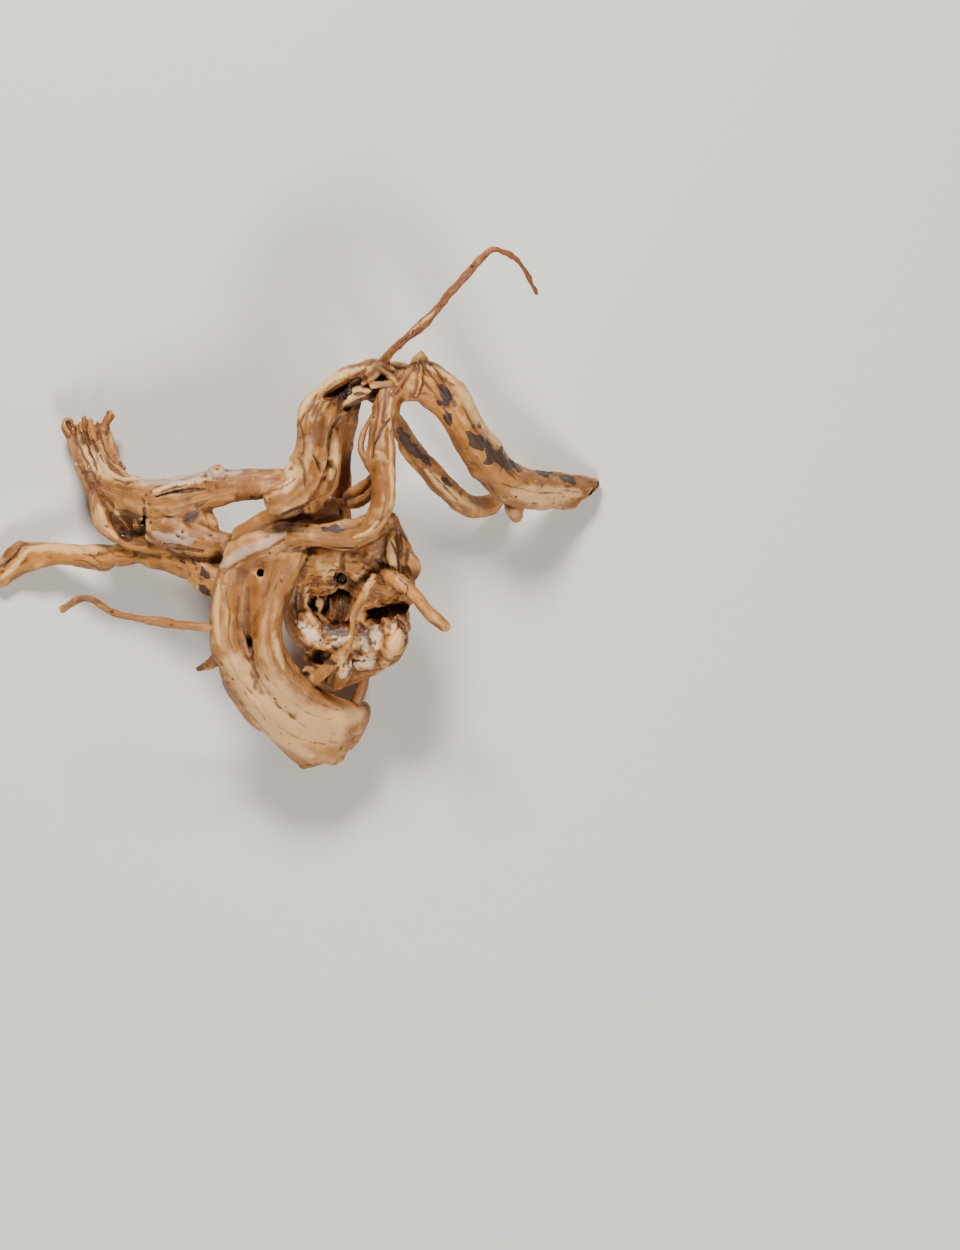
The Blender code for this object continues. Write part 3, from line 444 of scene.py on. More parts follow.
# Deep cracks that only the scene has, cut with the hollows.
FINE_HOLLOWS = {
    "shelf_hollow": (2.0, [
        (25, 50.5, 89, 1.2), (32, 53.4, 90, 2.4), (38, 52.8, 91, 2.6), (41, 51, 91, 1.4),
    ]),
    "twist_hole": (1.0, [(38.3, 66.3, 104, 1.6), (38.3, 66.3, 92, 1.2)]),
    "neck_slot": (2.5, [(-108, 19, 37, 0.8), (-105, 20.5, 37, 1.8), (-102.5, 20.5, 39, 0.8)]),
    "stain_pit": (1.5, [(-54, -3.8, 70, 0.8), (-51, -2, 71, 1.8), (-48, -0.5, 71, 1)]),
    "saddle_crack": (1.5, [(12.5, -63.5, 64, 0.8), (17, -65.2, 64, 1.6), (22, -63.5, 64, 0.8)]),
    "lobe_crack": (1.5, [(33, -68, 66, 0.8), (37.5, -68.5, 67, 1.6), (42, -70, 66, 1)]),
    "knot_pit_side": (1.0, [(26, -33.2, 84, 0.7), (24.6, -34.4, 70, 1), (22.6, -36.4, 62, 1.2)]),
    "valley_hole": (1.0, [(-24.8, -60.5, 84, 0.8), (-22.2, -65, 82, 1.9), (-20.6, -69, 80, 1.2)]),
    "valley_hole_deep": (1.0, [(-22.4, -64.5, 88, 2.3), (-22.2, -65, 76, 1.9), (-22, -65.5, 68, 1.2)]),
    "curl_hollow": (1.0, [(-150, -30, 14, 1.8), (-146, -26, 15.5, 2.4), (-141, -20, 17, 1.6)]),
}

# Marks seen from above: each acts only where nothing lies over the wood. A mark is its finish, its width, how
# far it stands out of the wood, and places along it, all in millimetres.
MARKS = {
    "band_crack": ("dark", 1.5, -1.2, [(-69.5, 7.5), (-63, 9), (-55, 10.5), (-44.5, 11.2)]),
    "band_crack_branch": ("dark", 1.1, -0.7, [(-66, 10), (-60, 12), (-53, 13)]),
    "band_lip": ("pale", 2.2, 0.8, [(-70, 10.5), (-60, 13), (-50, 14.5), (-42, 16)]),
    "band_top": ("grey", 6, 0, [(-76, 15), (-60, 15.5), (-44, 19.5), (-27, 20)]),
    "band_warm": ("warm", 10, 0, [(-68, 2), (-60, 3), (-53, 5)]),
    "band_right": ("warm", 5, 0, [(-30, 9), (-18, 10), (-8, 11)]),
    "band_grey": ("grey", 6.5, 0.4, [(-69, -11), (-60, -13.5), (-51, -14.5)]),
    "band_stain": ("dark", 3.4, 0, [(-55, -4.5), (-51, -2.2), (-47.5, -0.3)]),
    "band_stain_tail": ("dark", 1.6, -0.5, [(-50, 1.5), (-46.5, 3.5), (-43, 5)]),
    # Painted shade, dark along the carved crease between the lower band and the curled limb
    "shade_under_band": ("dark", 1.7, -1.4, [(-66, -17), (-56, -18.6), (-45, -20.2)]),
    "knot_ring": ("brown", 1.4, -0.9, [(-42, 20), (-40, 16.8), (-37, 16.8), (-35, 19.5)]),
    "knot_ring_hole": ("dark", 1.6, -1, [(-38.7, 20.5), (-37.6, 21.3)]),
    "pocket_shade": ("brown", 7, 0, [(-88, -1), (-83, -3), (-77, -3)]),
    # Painted shade at the bottom of the pocket
    "pocket_deep": ("dark", 4.4, 0, [(-87, -8.5), (-82, -10), (-75, -9)]),
    "pocket_crease": ("dark", 1.8, 0, [(-75, 7), (-74.5, 1), (-74.5, -7)]),
    "pocket_rim_pale": ("pale", 2.6, 0, [(-98, 4), (-95.5, -5), (-89, -13)]),
    "shoulder_crease": ("brown", 1, -0.7, [(-92, 17.5), (-86, 15), (-80, 13.5)]),
    "shoulder_ridge": ("pale", 2.6, 0.9, [(-99, 30), (-93, 20), (-84, 17), (-74, 17)]),
    "neck_warm": ("warm", 5, 0, [(-102, 12), (-97, 8), (-92, 6)]),
    "neck_pale": ("pale", 6, 0, [(-108, 34), (-101, 24), (-92, 18)]),
    "neck_slot": ("dark", 2, 0, [(-108, 20), (-103, 20.5)]),
    "neck_groove_1": ("brown", 0.9, -1.1, [(-112, 41), (-107.5, 29), (-103.5, 21)]),
    "neck_groove_2": ("dark", 0.9, -1.2, [(-107.5, 43), (-103.5, 31), (-100, 24)]),
    "neck_groove_3": ("dark", 0.9, -1.2, [(-104.5, 44), (-99.5, 31), (-95, 24)]),
    "neck_groove_4": ("brown", 0.9, -0.9, [(-99.5, 43), (-95.5, 32), (-90, 24)]),
    "neck_groove_5": ("brown", 0.8, -0.8, [(-109.5, 35), (-105, 24), (-99, 15), (-94, 11)]),
    "neck_groove_6": ("brown", 0.7, -0.7, [(-101.5, 39), (-97, 28), (-90, 20), (-84, 16.5)]),
    "neck_knob": ("pale", 3, 1.4, [(-110.5, 24.5)]),
    "twig_brown": ("brown", 2.4, 0, [(-113, -47.5), (-107, -44), (-101.5, -43), (-95, -46)]),
    "twig_speck_1": ("dark", 1.2, -0.4, [(-92, -49), (-90, -50.5)]),
    "twig_speck_2": ("dark", 1.1, -0.3, [(-76, -54.5), (-71, -54.8)]),
    "twig_speck_3": ("dark", 1.1, -0.3, [(-62, -56), (-58, -57.2)]),
    "twig_warm": ("warm", 3.5, 0, [(-96, -46), (-85, -51.5), (-67, -55), (-45, -57.5)]),
    "curled_gold": ("gold", 8, 0, [(-148, -32), (-136, -21), (-110, -21), (-86, -20), (-62, -23)]),
    "curled_pale": ("pale", 4, 0, [(-134, -18), (-120, -17.5), (-106, -19), (-90, -17)]),
    "curl_fold": ("dark", 1.1, -1.2, [(-137.5, -15.5), (-141, -20.5), (-149, -27)]),
    "curl_ridge": ("pale", 2.2, 0.8, [(-130, -16.5), (-136, -20), (-142, -27), (-149, -33)]),
    "curl_line_1": ("brown", 0.8, -0.5, [(-108, -20), (-102, -21.5), (-97, -25)]),
    "curl_line_2": ("brown", 0.8, -0.5, [(-112, -24), (-105, -24.5), (-99, -27.5)]),
    "curl_line_3": ("brown", 0.7, -0.4, [(-96, -18), (-90, -22), (-82, -22.5), (-76, -20)]),
    "curl_dark_1": ("bark", 3, 0, [(-51.5, -22.5), (-49, -26)]),
    "curl_dark_2": ("bark", 3.4, 0, [(-46, -27), (-43.5, -32)]),
    "curl_dark_3": ("bark", 2.8, 0, [(-47, -37), (-42, -41)]),
    "curl_dark_4": ("bark", 2, 0, [(-56, -25), (-54, -26)]),
    "trunk_top": ("grey", 5, 0.5, [(-36, -27), (-24, -20), (-11, -14.5), (-4, -10.5)]),
    "trunk_top_line": ("warm", 1.6, -0.7, [(-35, -31), (-27, -25), (-15, -20.5), (-4, -14)]),
    "trunk_pit": ("dark", 2.6, -0.6, [(-17, -29.5), (-15.5, -31.5)]),
    "trunk_pinhole": ("dark", 1.2, -0.8, [(-6, -34), (-5.8, -35.5)]),
    "valley_left": ("brown", 1, -1, [(-27, -42), (-27.5, -52), (-26.5, -59)]),
    "valley_floor": ("warm", 4.6, -0.5, [(-20, -33), (-20.5, -48), (-19.5, -62)]),
    "valley_shade": ("brown", 2.6, -0.4, [(-22.5, -38), (-23, -48), (-22, -60)]),
    "valley_end": ("dark", 1.4, -0.8, [(-22, -66), (-19.5, -71)]),
    "trunk_left_pale": ("pale", 2.6, 0, [(-37, -34), (-38.5, -50), (-37, -66)]),
    "trunk_left_warm": ("warm", 5, 0, [(-31, -34), (-33, -46), (-31, -58)]),
    "trunk_right_pale": ("pale", 2.4, 0, [(-10, -60), (-5, -78)]),
    "trunk_right_warm": ("warm", 4, 0, [(1, -24), (-4, -36), (-7, -50), (-8, -62)]),
    "trunk_right_line": ("warm", 0.8, -0.5, [(-5, -27), (-9, -40), (-12, -54), (-11, -68), (-5, -82)]),
    "trunk_right_gold": ("warm", 6, 0, [(-2, -24), (-8, -36), (-12, -50), (-12, -66)]),
    "trunk_left_gold": ("warm", 4, 0, [(-28, -38), (-30, -52), (-28, -70)]),
    "trunk_left_line": ("brown", 0.8, -0.6, [(-34, -36), (-31.5, -50), (-32, -64), (-26, -78)]),
    "blade_pale": ("pale", 19, 0, [(-30, -76), (-14, -92), (4, -106), (20, -112)]),
    "blade_pale_2": ("pale", 10, 0, [(2, -98), (16, -104), (32, -102)]),
    "blade_pale_3": ("pale", 8, 0, [(-22, -98), (-8, -112), (8, -122)]),
    "blade_fold": ("warm", 1.6, -0.4, [(-19, -75), (-14, -87), (-7, -98), (6, -108)]),
    "blade_crease_1": ("brown", 0.8, -0.6, [(-34, -72), (-27, -84), (-18, -94), (-12, -104)]),
    "blade_crease_2": ("brown", 0.8, -0.5, [(-6, -92), (6, -100), (16, -104), (27, -103)]),
    "blade_crease_3": ("brown", 0.8, -0.5, [(-8, -108), (4, -114), (15, -116)]),
    "blade_crease_4": ("brown", 0.8, -0.5, [(-26, -90), (-17, -101), (-6, -112)]),
    "blade_crease_5": ("warm", 1.2, -0.5, [(-1, -84), (9, -94), (22, -99)]),
    "blade_top_streak": ("warm", 4, 0, [(-22, -80), (-8, -92), (2, -97)]),
    "blade_edge_streak": ("warm", 2.4, 0, [(8, -90), (20, -94), (30, -96)]),
    "spur_dark": ("brown", 2.6, 0, [(-48, -79), (-43, -76)]),
    "arch_top_strand": ("pale", 3.6, 0.7, [(3, 47), (9, 58), (20, 67), (37, 71.5)]),
    "arch_brown": ("brown", 8, 0, [(9, 52), (13, 45), (14, 34)]),
    "arch_warm": ("warm", 11, 0, [(8, 42), (9, 30), (10, 16)]),
    "arch_grey": ("pale", 5, 0, [(-4, 25), (1, 19), (-3, 10)]),
    "arch_crease": ("dark", 1.6, -1.4, [(23.5, 47), (19.5, 42), (17.3, 33), (16, 25)]),
    "arch_fold": ("dark", 1.6, -1, [(10.5, 27), (12.5, 24), (14, 19)]),
    "arch_fold_2": ("brown", 1.6, -0.8, [(3, 26), (6, 20), (6, 12)]),
    "arch_line": ("brown", 1.3, -0.6, [(4, 44), (6, 34), (5, 26)]),
    # Painted shade in the arch crevice
    "shade_in_crevice": ("dark", 3, 0, [(17, 56.8), (24, 60), (31, 62.5)]),
    "knob_warm": ("warm", 5, 0, [(-14, 4), (-6, 5), (4, 8)]),
    # Painted shadow in the gap under the knob
    "shadow_under_knob": ("dark", 1.6, -0.6, [(-8, -2.5), (3, 1.5), (12, 6)]),
    "inner_pale": ("pale", 4, 0.4, [(20, 41), (20.5, 30), (19, 16)]),
    "shelf_pale": ("pale", 5, 0.3, [(25, 53.5), (32, 58), (41, 61)]),
    # Painted shadow under the arch shelf
    "shadow_under_shelf": ("dark", 3, 0, [(27, 50.5), (33, 53.5), (40, 52)]),
    "top_red": ("brown", 4.5, 0, [(39, 76), (43, 71), (50, 69)]),
    "top_pit": ("dark", 2.4, -0.5, [(43, 66.5), (47, 67.5)]),
    "top_red_2": ("brown", 2, 0, [(34, 66), (40, 68.5), (46, 72)]),
    "twig_red": ("red", 5, 0, [(45, 76), (62, 90), (82, 111.5), (95, 125.5)]),
    "twig_red_2": ("red", 4, 0, [(92, 122), (104.5, 127.5), (116, 118), (121.5, 107.5)]),
    "twig_split_1": ("dark", 0.8, -0.5, [(50, 80), (56, 85), (63, 91)]),
    "twig_split_2": ("dark", 0.8, -0.4, [(68, 95.5), (74, 102), (79, 108)]),
    "twig_split_3": ("brown", 0.8, -0.4, [(84, 113), (90, 120), (94, 125)]),
    "twig_pale": ("pale", 1.2, 0, [(58, 87.5), (66, 95), (72, 100)]),
    "front_streak_1": ("brown", 1.6, -0.7, [(46, 60), (46.5, 50), (45, 42)]),
    "front_streak_2": ("brown", 1.3, -0.6, [(42, 57), (43, 47), (40.5, 38), (40, 30)]),
    "front_fold": ("dark", 1.4, -0.9, [(48.5, 46), (44, 40), (41, 33), (40.5, 26)]),
    "front_warm": ("warm", 9, 0, [(46, 50), (44, 33), (44, 20), (45, 8), (43, -2)]),
    "front_warm_2": ("warm", 8, 0, [(38, -8), (26, -12), (12, -12)]),
    "front_gold": ("warm", 6, 0, [(36, -9), (24, -13), (10, -12), (-2, -11)]),
    "right_twig_hole": ("dark", 0.9, -0.8, [(75.8, -57.4), (76.3, -57.8)]),
    "right_twig_line": ("brown", 0.7, -0.4, [(50, -31), (57, -36.5), (64, -44.5)]),
    "right_twig_gold": ("gold", 4, 0, [(48, -32), (60, -41), (74, -56)]),
    "arch_gold": ("warm", 8, 0, [(2, 44), (4, 30), (4, 16)]),
    "arch_line_2": ("brown", 0.8, -0.7, [(12, 60), (8, 50), (2, 40), (0, 28)]),
    "arch_line_3": ("brown", 0.8, -0.7, [(22, 66), (14, 57), (10, 47)]),
    "knob_line": ("brown", 0.8, -0.5, [(-14, 8), (-6, 11), (2, 16)]),
    "right_gold": ("gold", 8, 0, [(66, 60), (78, 48), (92, 30), (106, 14), (124, 9), (140, 9)]),
    "front_pale": ("pale", 1.8, 0, [(49, 60), (48, 48), (49.5, 16), (49, 0)]),
    "front_knuckle": ("warm", 4, 1.2, [(43, 29), (47, 24)]),
    "front_stain": ("bark", 3.4, 0, [(16, -8.5), (21, -8.8), (25.5, -9.5)]),
    "front_stain_2": ("dark", 2, 0, [(-3, -5), (8, -5), (14, -6.5)]),
    "front_bend_pale": ("pale", 2, 0, [(30, -13.5), (37, -11), (43, -5)]),
    # Painted shadow of the knob on the front tube
    "knob_shadow_on_front_tube": ("brown", 3.4, 0, [(-14, -10), (-5, -9), (6, -9.5)]),
    # Painted shade, dark along the carved crease under the front tube
    "shade_under_front_tube": ("dark", 1.5, -0.8, [(6, -17.5), (18, -18.5), (30, -18.5), (40, -15.5), (46, -11)]),
    "right_bark_1": ("bark", 4.4, 0, [(73.5, 62), (76.5, 56), (76, 50), (78, 44)]),
    "right_bark_2": ("bark", 3.6, 0, [(87, 39), (90, 34), (94, 31)]),
    "right_bark_3": ("bark", 4.6, 0, [(93, 37), (98, 30), (104, 25.5), (113, 21)]),
    "right_bark_4": ("bark", 3, 0, [(100, 26), (96, 24)]),
    "right_bark_5": ("bark", 3, 0, [(121, 21.5), (129, 20)]),
    "right_bark_6": ("bark", 2.6, 0, [(133, 18), (141, 15.5)]),
    "right_pale": ("pale", 4.4, 0.4, [(67, 72), (79.5, 66), (88, 54), (97.5, 39), (109, 27)]),
    "right_end_pale": ("pale", 8, 0, [(110, 10), (124, 8), (142, 10)]),
    "right_warm": ("gold", 5, 0, [(60, 66), (65, 58), (72, 50), (84, 40), (95, 24)]),
    "right_top_orange": ("gold", 7, 0, [(60, 70), (66, 62), (72, 54)]),
    "right_groove_1": ("brown", 1.3, -0.7, [(62, 74), (64, 66), (70, 58), (78, 50)]),
    "right_groove_2": ("brown", 1.2, -0.6, [(84, 52), (92, 39), (100, 27), (112, 16)]),
    "right_groove_3": ("brown", 1.2, -0.6, [(104, 14), (120, 10), (136, 9)]),
    "right_rim": ("pale", 1.6, 0.6, [(150, 12.5), (146, 6), (141, 2)]),
    "back_bark": ("bark", 4, 0, [(52, 42), (57, 35), (63, 28), (68, 24)]),
    "back_bark_2": ("bark", 2.8, 0, [(74, 17), (78, 13.5)]),
    "back_pale": ("pale", 4, 0, [(66, 21), (78, 10), (90, 3)]),
    # Painted shade in the corner below the front tube, at the top of the knot
    "knot_corner": ("dark", 3.4, 0, [(4.5, -19.5), (12, -20.5)]),
    "knot_corner_side": ("brown", 3.6, 0, [(4.5, -22), (5, -34)]),
    "knot_slope": ("pale", 4, 0, [(12, -25), (16, -32), (22, -26)]),
    "knot_slope_brown": ("brown", 3, -0.6, [(25, -21), (24, -30)]),
    "knot_pit": ("dark", 1.8, -0.4, [(23.6, -31.5), (22.4, -34.5), (20.6, -38)]),
    "knot_pit_shade": ("brown", 4, 0, [(24, -32), (19.5, -38)]),
    "knot_left_brown": ("brown", 5.5, 0, [(-3, -42), (-2, -52), (1, -40), (4, -48)]),
    "knot_left_crease": ("dark", 1.4, -0.8, [(2, -37), (0.5, -46), (2.5, -56)]),
    "knot_left_pale": ("pale", 5.5, 0, [(4, -56), (9, -61), (12, -66)]),
    "knot_rim": ("pale", 2.4, 0.5, [(6.5, -38), (7, -50), (12, -57.5)]),
    "flute_olive": ("olive", 8, 0, [(24, -44), (23, -52)]),
    "saddle_grey": ("plum", 5, -0.6, [(15, -58), (21, -59.5), (26, -60)]),
    "saddle_white": ("white", 3, 0.5, [(18, -67), (22, -66), (26, -63)]),
    "knot_white_1": ("white", 5.5, 0, [(40.5, -56), (40.5, -61), (41.5, -67)]),
    "knot_white_5": ("white", 4, 0, [(36, -73), (29, -77), (24, -82)]),
    "cheek_pale": ("white", 5, 0, [(3, -55), (8, -61), (13, -64)]),
    "knot_white_2": ("white", 3.2, 0, [(32.5, -62), (34.5, -66), (36, -69)]),
    "knot_white_3": ("white", 5, 0, [(33, -76), (40, -74)]),
    "knot_white_4": ("white", 2.6, 0.3, [(20, -62.5), (25, -64.5), (28, -62)]),
    "knot_plum": ("plum", 3, -0.5, [(33, -56), (35, -60), (37, -66)]),
    "lower_ribs": ("pale", 4.5, 0, [(24, -73), (24, -82)]),
    # Painted shade in the gap between the knot's lobes
    "shade_in_knot_gap": ("dark", 2, -0.8, [(30, -69), (34, -71.5)]),
    "knot_brown_lobe": ("warm", 2.6, 0, [(46, -75), (51, -70), (53, -64)]),
    "knot_tan_lobe": ("gold", 6, 0, [(48, -56), (49, -63), (46, -71)]),
    "knot_slope_gold": ("gold", 7, 0, [(10, -28), (20, -27), (34, -28)]),
    "knot_slope_gold_2": ("gold", 5, 0, [(38, -34), (46, -37), (50, -42)]),
    "knot_cheek_gold": ("gold", 4, 0, [(5, -33), (9, -36), (14, -37)]),
    "knot_porous_pale": ("pale", 6, 0, [(32, -32), (36, -34), (39, -33)]),
    "knot_right_pale": ("pale", 5, 0, [(50, -56), (51, -64), (48, -72)]),
    "ragged_dark_1": ("dark", 1.5, -1.3, [(48, -13), (51.5, -20.5), (53, -31.5)]),
    "ragged_dark_2": ("dark", 1.5, -1.3, [(57, -21), (56, -26), (58.5, -32)]),
    "ragged_dark_3": ("dark", 1.6, -1, [(41, -24), (46.5, -27.5)]),
    "ragged_dark_4": ("dark", 2.6, -1, [(44, -45.5), (50, -47.5), (58, -47)]),
    "ragged_dark_5": ("dark", 1.4, -0.8, [(50, -50), (53, -56), (50, -60)]),
    "ragged_pale": ("pale", 4.4, 0.3, [(49, -14), (48.8, -20), (50.5, -28)]),
    "ragged_line_1": ("dark", 0.9, -1, [(45.5, -16), (45.2, -22), (47.5, -29)]),
    "ragged_line_2": ("dark", 0.9, -1, [(53, -34), (57, -37), (56.5, -42)]),
    # Painted shade in the cavity between the knot's lower folds
    "shade_in_fold": ("dark", 4, -0.5, [(9, -71.5), (15, -73.5), (20, -76)]),
    "strand_end_pale": ("pale", 3, 0, [(5, -79), (9, -84)]),
    "bottom_brown": ("brown", 3, 0, [(9, -87), (17, -88.5), (20, -82)]),
}

# How limbs grow
RING_SIDES = 12
RIB_HEIGHT = 1.1  # every fourth point of a limb's ring stands out by this factor
GROOVE_DEPTH = 0.92  # and the point midway between two ribs lies in by this one
TWIST = 11.0  # radians that a ring turns in a metre of limb
FIRST_TWIST = 1.7  # radians that each limb's first ring is turned further than the last limb's
LEAST_TURN = 1e-5  # radians
TIP_LENGTH = 0.45  # of the last radius
TIP_SIZE = 0.6  # of the last ring
GROWTH_STEPS = 2  # rings to a station
GRAIN_STEPS = 8  # and points to a station along which the grain runs
GRAIN_SPACING = 1.5 * MM

# How the mesh is made
LIMB_VOXEL = 1.2 * MM
FINE_VOXEL = 0.62 * MM
JOIN_SMOOTHING = 6
MOST_TRIANGLES = 196000

# Where the wood differs: a middle, and a reach along each axis
KNOT_REGION = ((30, -48, 62), (36, 42, 40))
SMOOTH_REGIONS = (  # with the share of the relief that is worn away
    (0.68, (0, -101, 40), (46, 34, 50)),
    (0.5, (-19, -48, 88), (31, 46, 30)),
)
POROUS_CENTRE = (35.5, -33.5, 66)
POROUS_REACH = 5.5 * MM

# The relief, in millimetres
RIDGE_MIDDLE = 0.25  # about the mean of folded noise, taken off so that ridges don't swell the wood
FULL_RELIEF_RADIUS = 5 * MM  # thinner limbs have shallower relief
LEAST_RELIEF = 0.3
TWIG_KNOBS = 1.1  # the height of the knobs on the thinnest limbs
BARK_RISE = 0.45
PIT_DEPTH = 1.1
PIT_SEED = 7
PIT_COUNT = 150
PIT_RADII = (0.4, 1.1)
POROUS_COUNT = 60
POROUS_RADII = (0.35, 0.65)

# The strokes of the marks
STROKE_END = 0.45  # a stroke's width at its ends, as a share of its width in the middle
WAVER = 0.75
WAVER_LENGTH = 5 * MM
SCRAP_LENGTH = 4.5 * MM
SCRAP_FRAY = 0.75
SCRAP_EDGE = 0.42  # the cover at which a scrap of bark ends
SCRAP_SHARPNESS = 4
BARK_SPREAD = 1.3  # bark rises over a stroke this much wider than its mark
BAND_SPREAD = 1.25  # the colour of a mark wider than a line spreads this much
LINE_WIDTH = 2

# How open to the sky the wood is
SEEN_GAP = 0.4 * MM  # how far off the wood a ray starts
SKY_GAP = 0.3 * MM
LEAST_FACING = -0.1  # wood that faces further down than this isn't seen from above
SKY_REACH = 22 * MM
SKY_RAYS = 16
GOLDEN_ANGLE = 2.39996  # radians, which spread the rays evenly

# Colours
TAN_LIGHT = (0.44, 0.19, 0.045, 1)
TAN_DEEP = (0.27, 0.1, 0.019, 1)
TAN_ORANGE = (0.43, 0.155, 0.022, 1)
TAN_BROWN = (0.15, 0.052, 0.012, 1)
GOLD_TAN = (0.54, 0.215, 0.036, 1)
ORANGE_BROWN = (0.27, 0.092, 0.014, 1)
TWIG_RED = (0.22, 0.07, 0.022, 1)
# Brown for lines, stains and specks, and painted shade in creases and hollows
STAIN_AND_SHADE_BROWN = (0.12, 0.042, 0.011, 1)
DARK_BROWN = (0.06, 0.024, 0.01, 1)
OLIVE_BROWN = (0.16, 0.095, 0.03, 1)
# Pale for wear and fibres, and a painted highlight on ridges
PALE_WEAR_AND_HIGHLIGHT = (0.85, 0.5, 0.205, 1)
WEATHERED_GREY = (0.6, 0.46, 0.38, 1)
PLUM_GREY = (0.12, 0.085, 0.09, 1)
BLEACHED_WHITE = (0.82, 0.66, 0.47, 1)
BARK_PURPLE = (0.032, 0.015, 0.014, 1)
# Black for cracks and pits, and painted shade in the deepest hollows
CRACK_AND_SHADE_BLACK = (0.012, 0.006, 0.004, 1)
FLOOR_GREY = (0.72, 0.71, 0.69, 1)
FIBRE_SCALE = (1000, 1000, 70)  # across, into and along the grain
FINISHES = ("gold", "warm", "red", "brown", "olive", "pale", "grey", "plum", "white", "bark", "dark")

# The studio
FLOOR_SIZE = 8
FLOOR_DROP = 0.2 * MM
LIT_POINT = (0, 0, 0.05)
LIGHTS = {  # place, size, power, colour
    "key": ((-0.25, 1.05, 1.25), 0.35, 42, (1.0, 0.95, 0.88)),
    "fill": ((0.3, -1.05, 1.3), 0.45, 25, (1.0, 0.96, 0.9)),
}
STUDIO_AIR = (0.9, 0.88, 0.86, 1)
STUDIO_GLOW = 0.1
PHOTO_SIZE = (960, 1250)
PHOTO_PIXEL = 0.5 * MM  # a photo pixel on the object, at the height of its middle
PHOTO_CENTRE = (0.093, -0.0565)  # the middle of the photograph, in the part's frame
MIDDLE_HEIGHT = 0.06
CAMERA_DISTANCE = 5.0


# Growing


def catmull_rom(a, b, c, d, t):
    """The value at t, from 0 to 1, between b and c on a smooth curve through all four."""
    return 0.5 * (2 * b + (c - a) * t + (2 * a - 5 * b + 4 * c - d) * t**2 + (3 * b - a - 3 * c + d) * t**3)


def smooth_route(stations, steps):
    """Closely spaced stations in metres, on a smooth curve through the given ones."""
    ends = np.array([stations[0], *stations, stations[-1]], float) * MM
    route = []
    for a, b, c, d in zip(ends, ends[1:], ends[2:], ends[3:]):
        route += [catmull_rom(a, b, c, d, step / steps) for step in range(steps)]
    route.append(ends[-1])
    return np.array(route)


def directions_along(points):
    """The unit direction of travel at each point of a route."""
    ways = np.gradient(points, axis=0)
    return ways / np.linalg.norm(ways, axis=1, keepdims=True)


def deselect_all():
    bpy.ops.object.select_all(action="DESELECT")


def select_only(*things):
    deselect_all()
    for thing in things:
        thing.select_set(True)
    bpy.context.view_layer.objects.active = things[0]


def turn(turning, centre):
    """Turns the selection by a quaternion round a point."""
    axis, angle = turning.to_axis_angle()
    if angle < LEAST_TURN:
        return
    side = axis.orthogonal().normalized()
    basis = Matrix((side, axis.cross(side), axis)).transposed()
    bpy.ops.transform.rotate(value=-angle, orient_axis="Z", orient_matrix=basis, center_override=centre)


def rib_ring(ring, centre):
    """Pulls every fourth point of a ring out and pushes the points between them in."""
    for remainder, factor in ((0, RIB_HEIGHT), (2, GROOVE_DEPTH)):
        bpy.ops.object.mode_set(mode="OBJECT")
        for vertex in ring.data.vertices:
            vertex.select = vertex.index % 4 == remainder
        bpy.ops.object.mode_set(mode="EDIT")
        bpy.ops.transform.resize(value=(factor,) * 3, center_override=centre)
    bpy.ops.mesh.select_all(action="SELECT")


def extrude_ring(step, centre, factor):
    """Extrudes the selected ring by a step and resizes the new one."""
    bpy.ops.mesh.extrude_region_move(TRANSFORM_OT_translate={"value": step})
    bpy.ops.transform.resize(value=(factor,) * 3, center_override=centre)


def grow(name, depth, stations, number):
    """Grows one limb. A flattened limb is grown deep and then pressed along Z."""
    route = smooth_route(stations, GROWTH_STEPS)
    route[:, 2] /= depth
    points = [Vector(place) for place in route[:, :3]]
    radii = route[:, 3]
    ways = [Vector(way) for way in directions_along(route[:, :3])]
    bpy.ops.mesh.primitive_circle_add(vertices=RING_SIDES, radius=radii[0], fill_type="NGON")
    limb = bpy.context.object
    limb.name = name
    bpy.ops.object.mode_set(mode="EDIT")
    bpy.ops.mesh.select_mode(type="VERT")
    rib_ring(limb, (0, 0, 0))
    start = ways[0].to_track_quat("Z", "Y") @ Quaternion((0, 0, 1), FIRST_TWIST * number)
    turn(start, (0, 0, 0))
    bpy.ops.transform.translate(value=points[0])
    rings = list(zip(points, radii, ways))
    for (last, last_radius, last_way), (here, radius, way) in zip(rings, rings[1:]):
        step = here - last
        extrude_ring(step, here, radius / last_radius)
        turn(Quaternion(way, TWIST * step.length) @ last_way.rotation_difference(way), here)
    tip = points[-1] + ways[-1] * radii[-1] * TIP_LENGTH
    extrude_ring(tip - points[-1], tip, TIP_SIZE)
    bpy.ops.mesh.select_all(action="SELECT")
    bpy.ops.transform.resize(value=(1, 1, depth), center_override=(0, 0, 0))
    bpy.ops.mesh.normals_make_consistent(inside=False)
    bpy.ops.object.mode_set(mode="OBJECT")
    return limb


def grow_all(limbs, name):
    """Grows every limb of a table and joins them into one object, rounded by a subdivision."""
    grown = [grow(limb, *shape, number) for number, (limb, shape) in enumerate(limbs.items())]
    select_only(*grown)
    bpy.ops.object.join()
    joined = bpy.context.object
    joined.name = name
    add_modifier(joined, "rounding", "SUBSURF", levels=1, render_levels=1)
    return joined


def add_modifier(thing, name, kind, **settings):
    """Adds a modifier and applies it."""
    modifier = thing.modifiers.new(name, kind)
    for setting, value in settings.items():
        setattr(modifier, setting, value)
    select_only(thing)
    bpy.ops.object.modifier_apply(modifier=modifier.name)


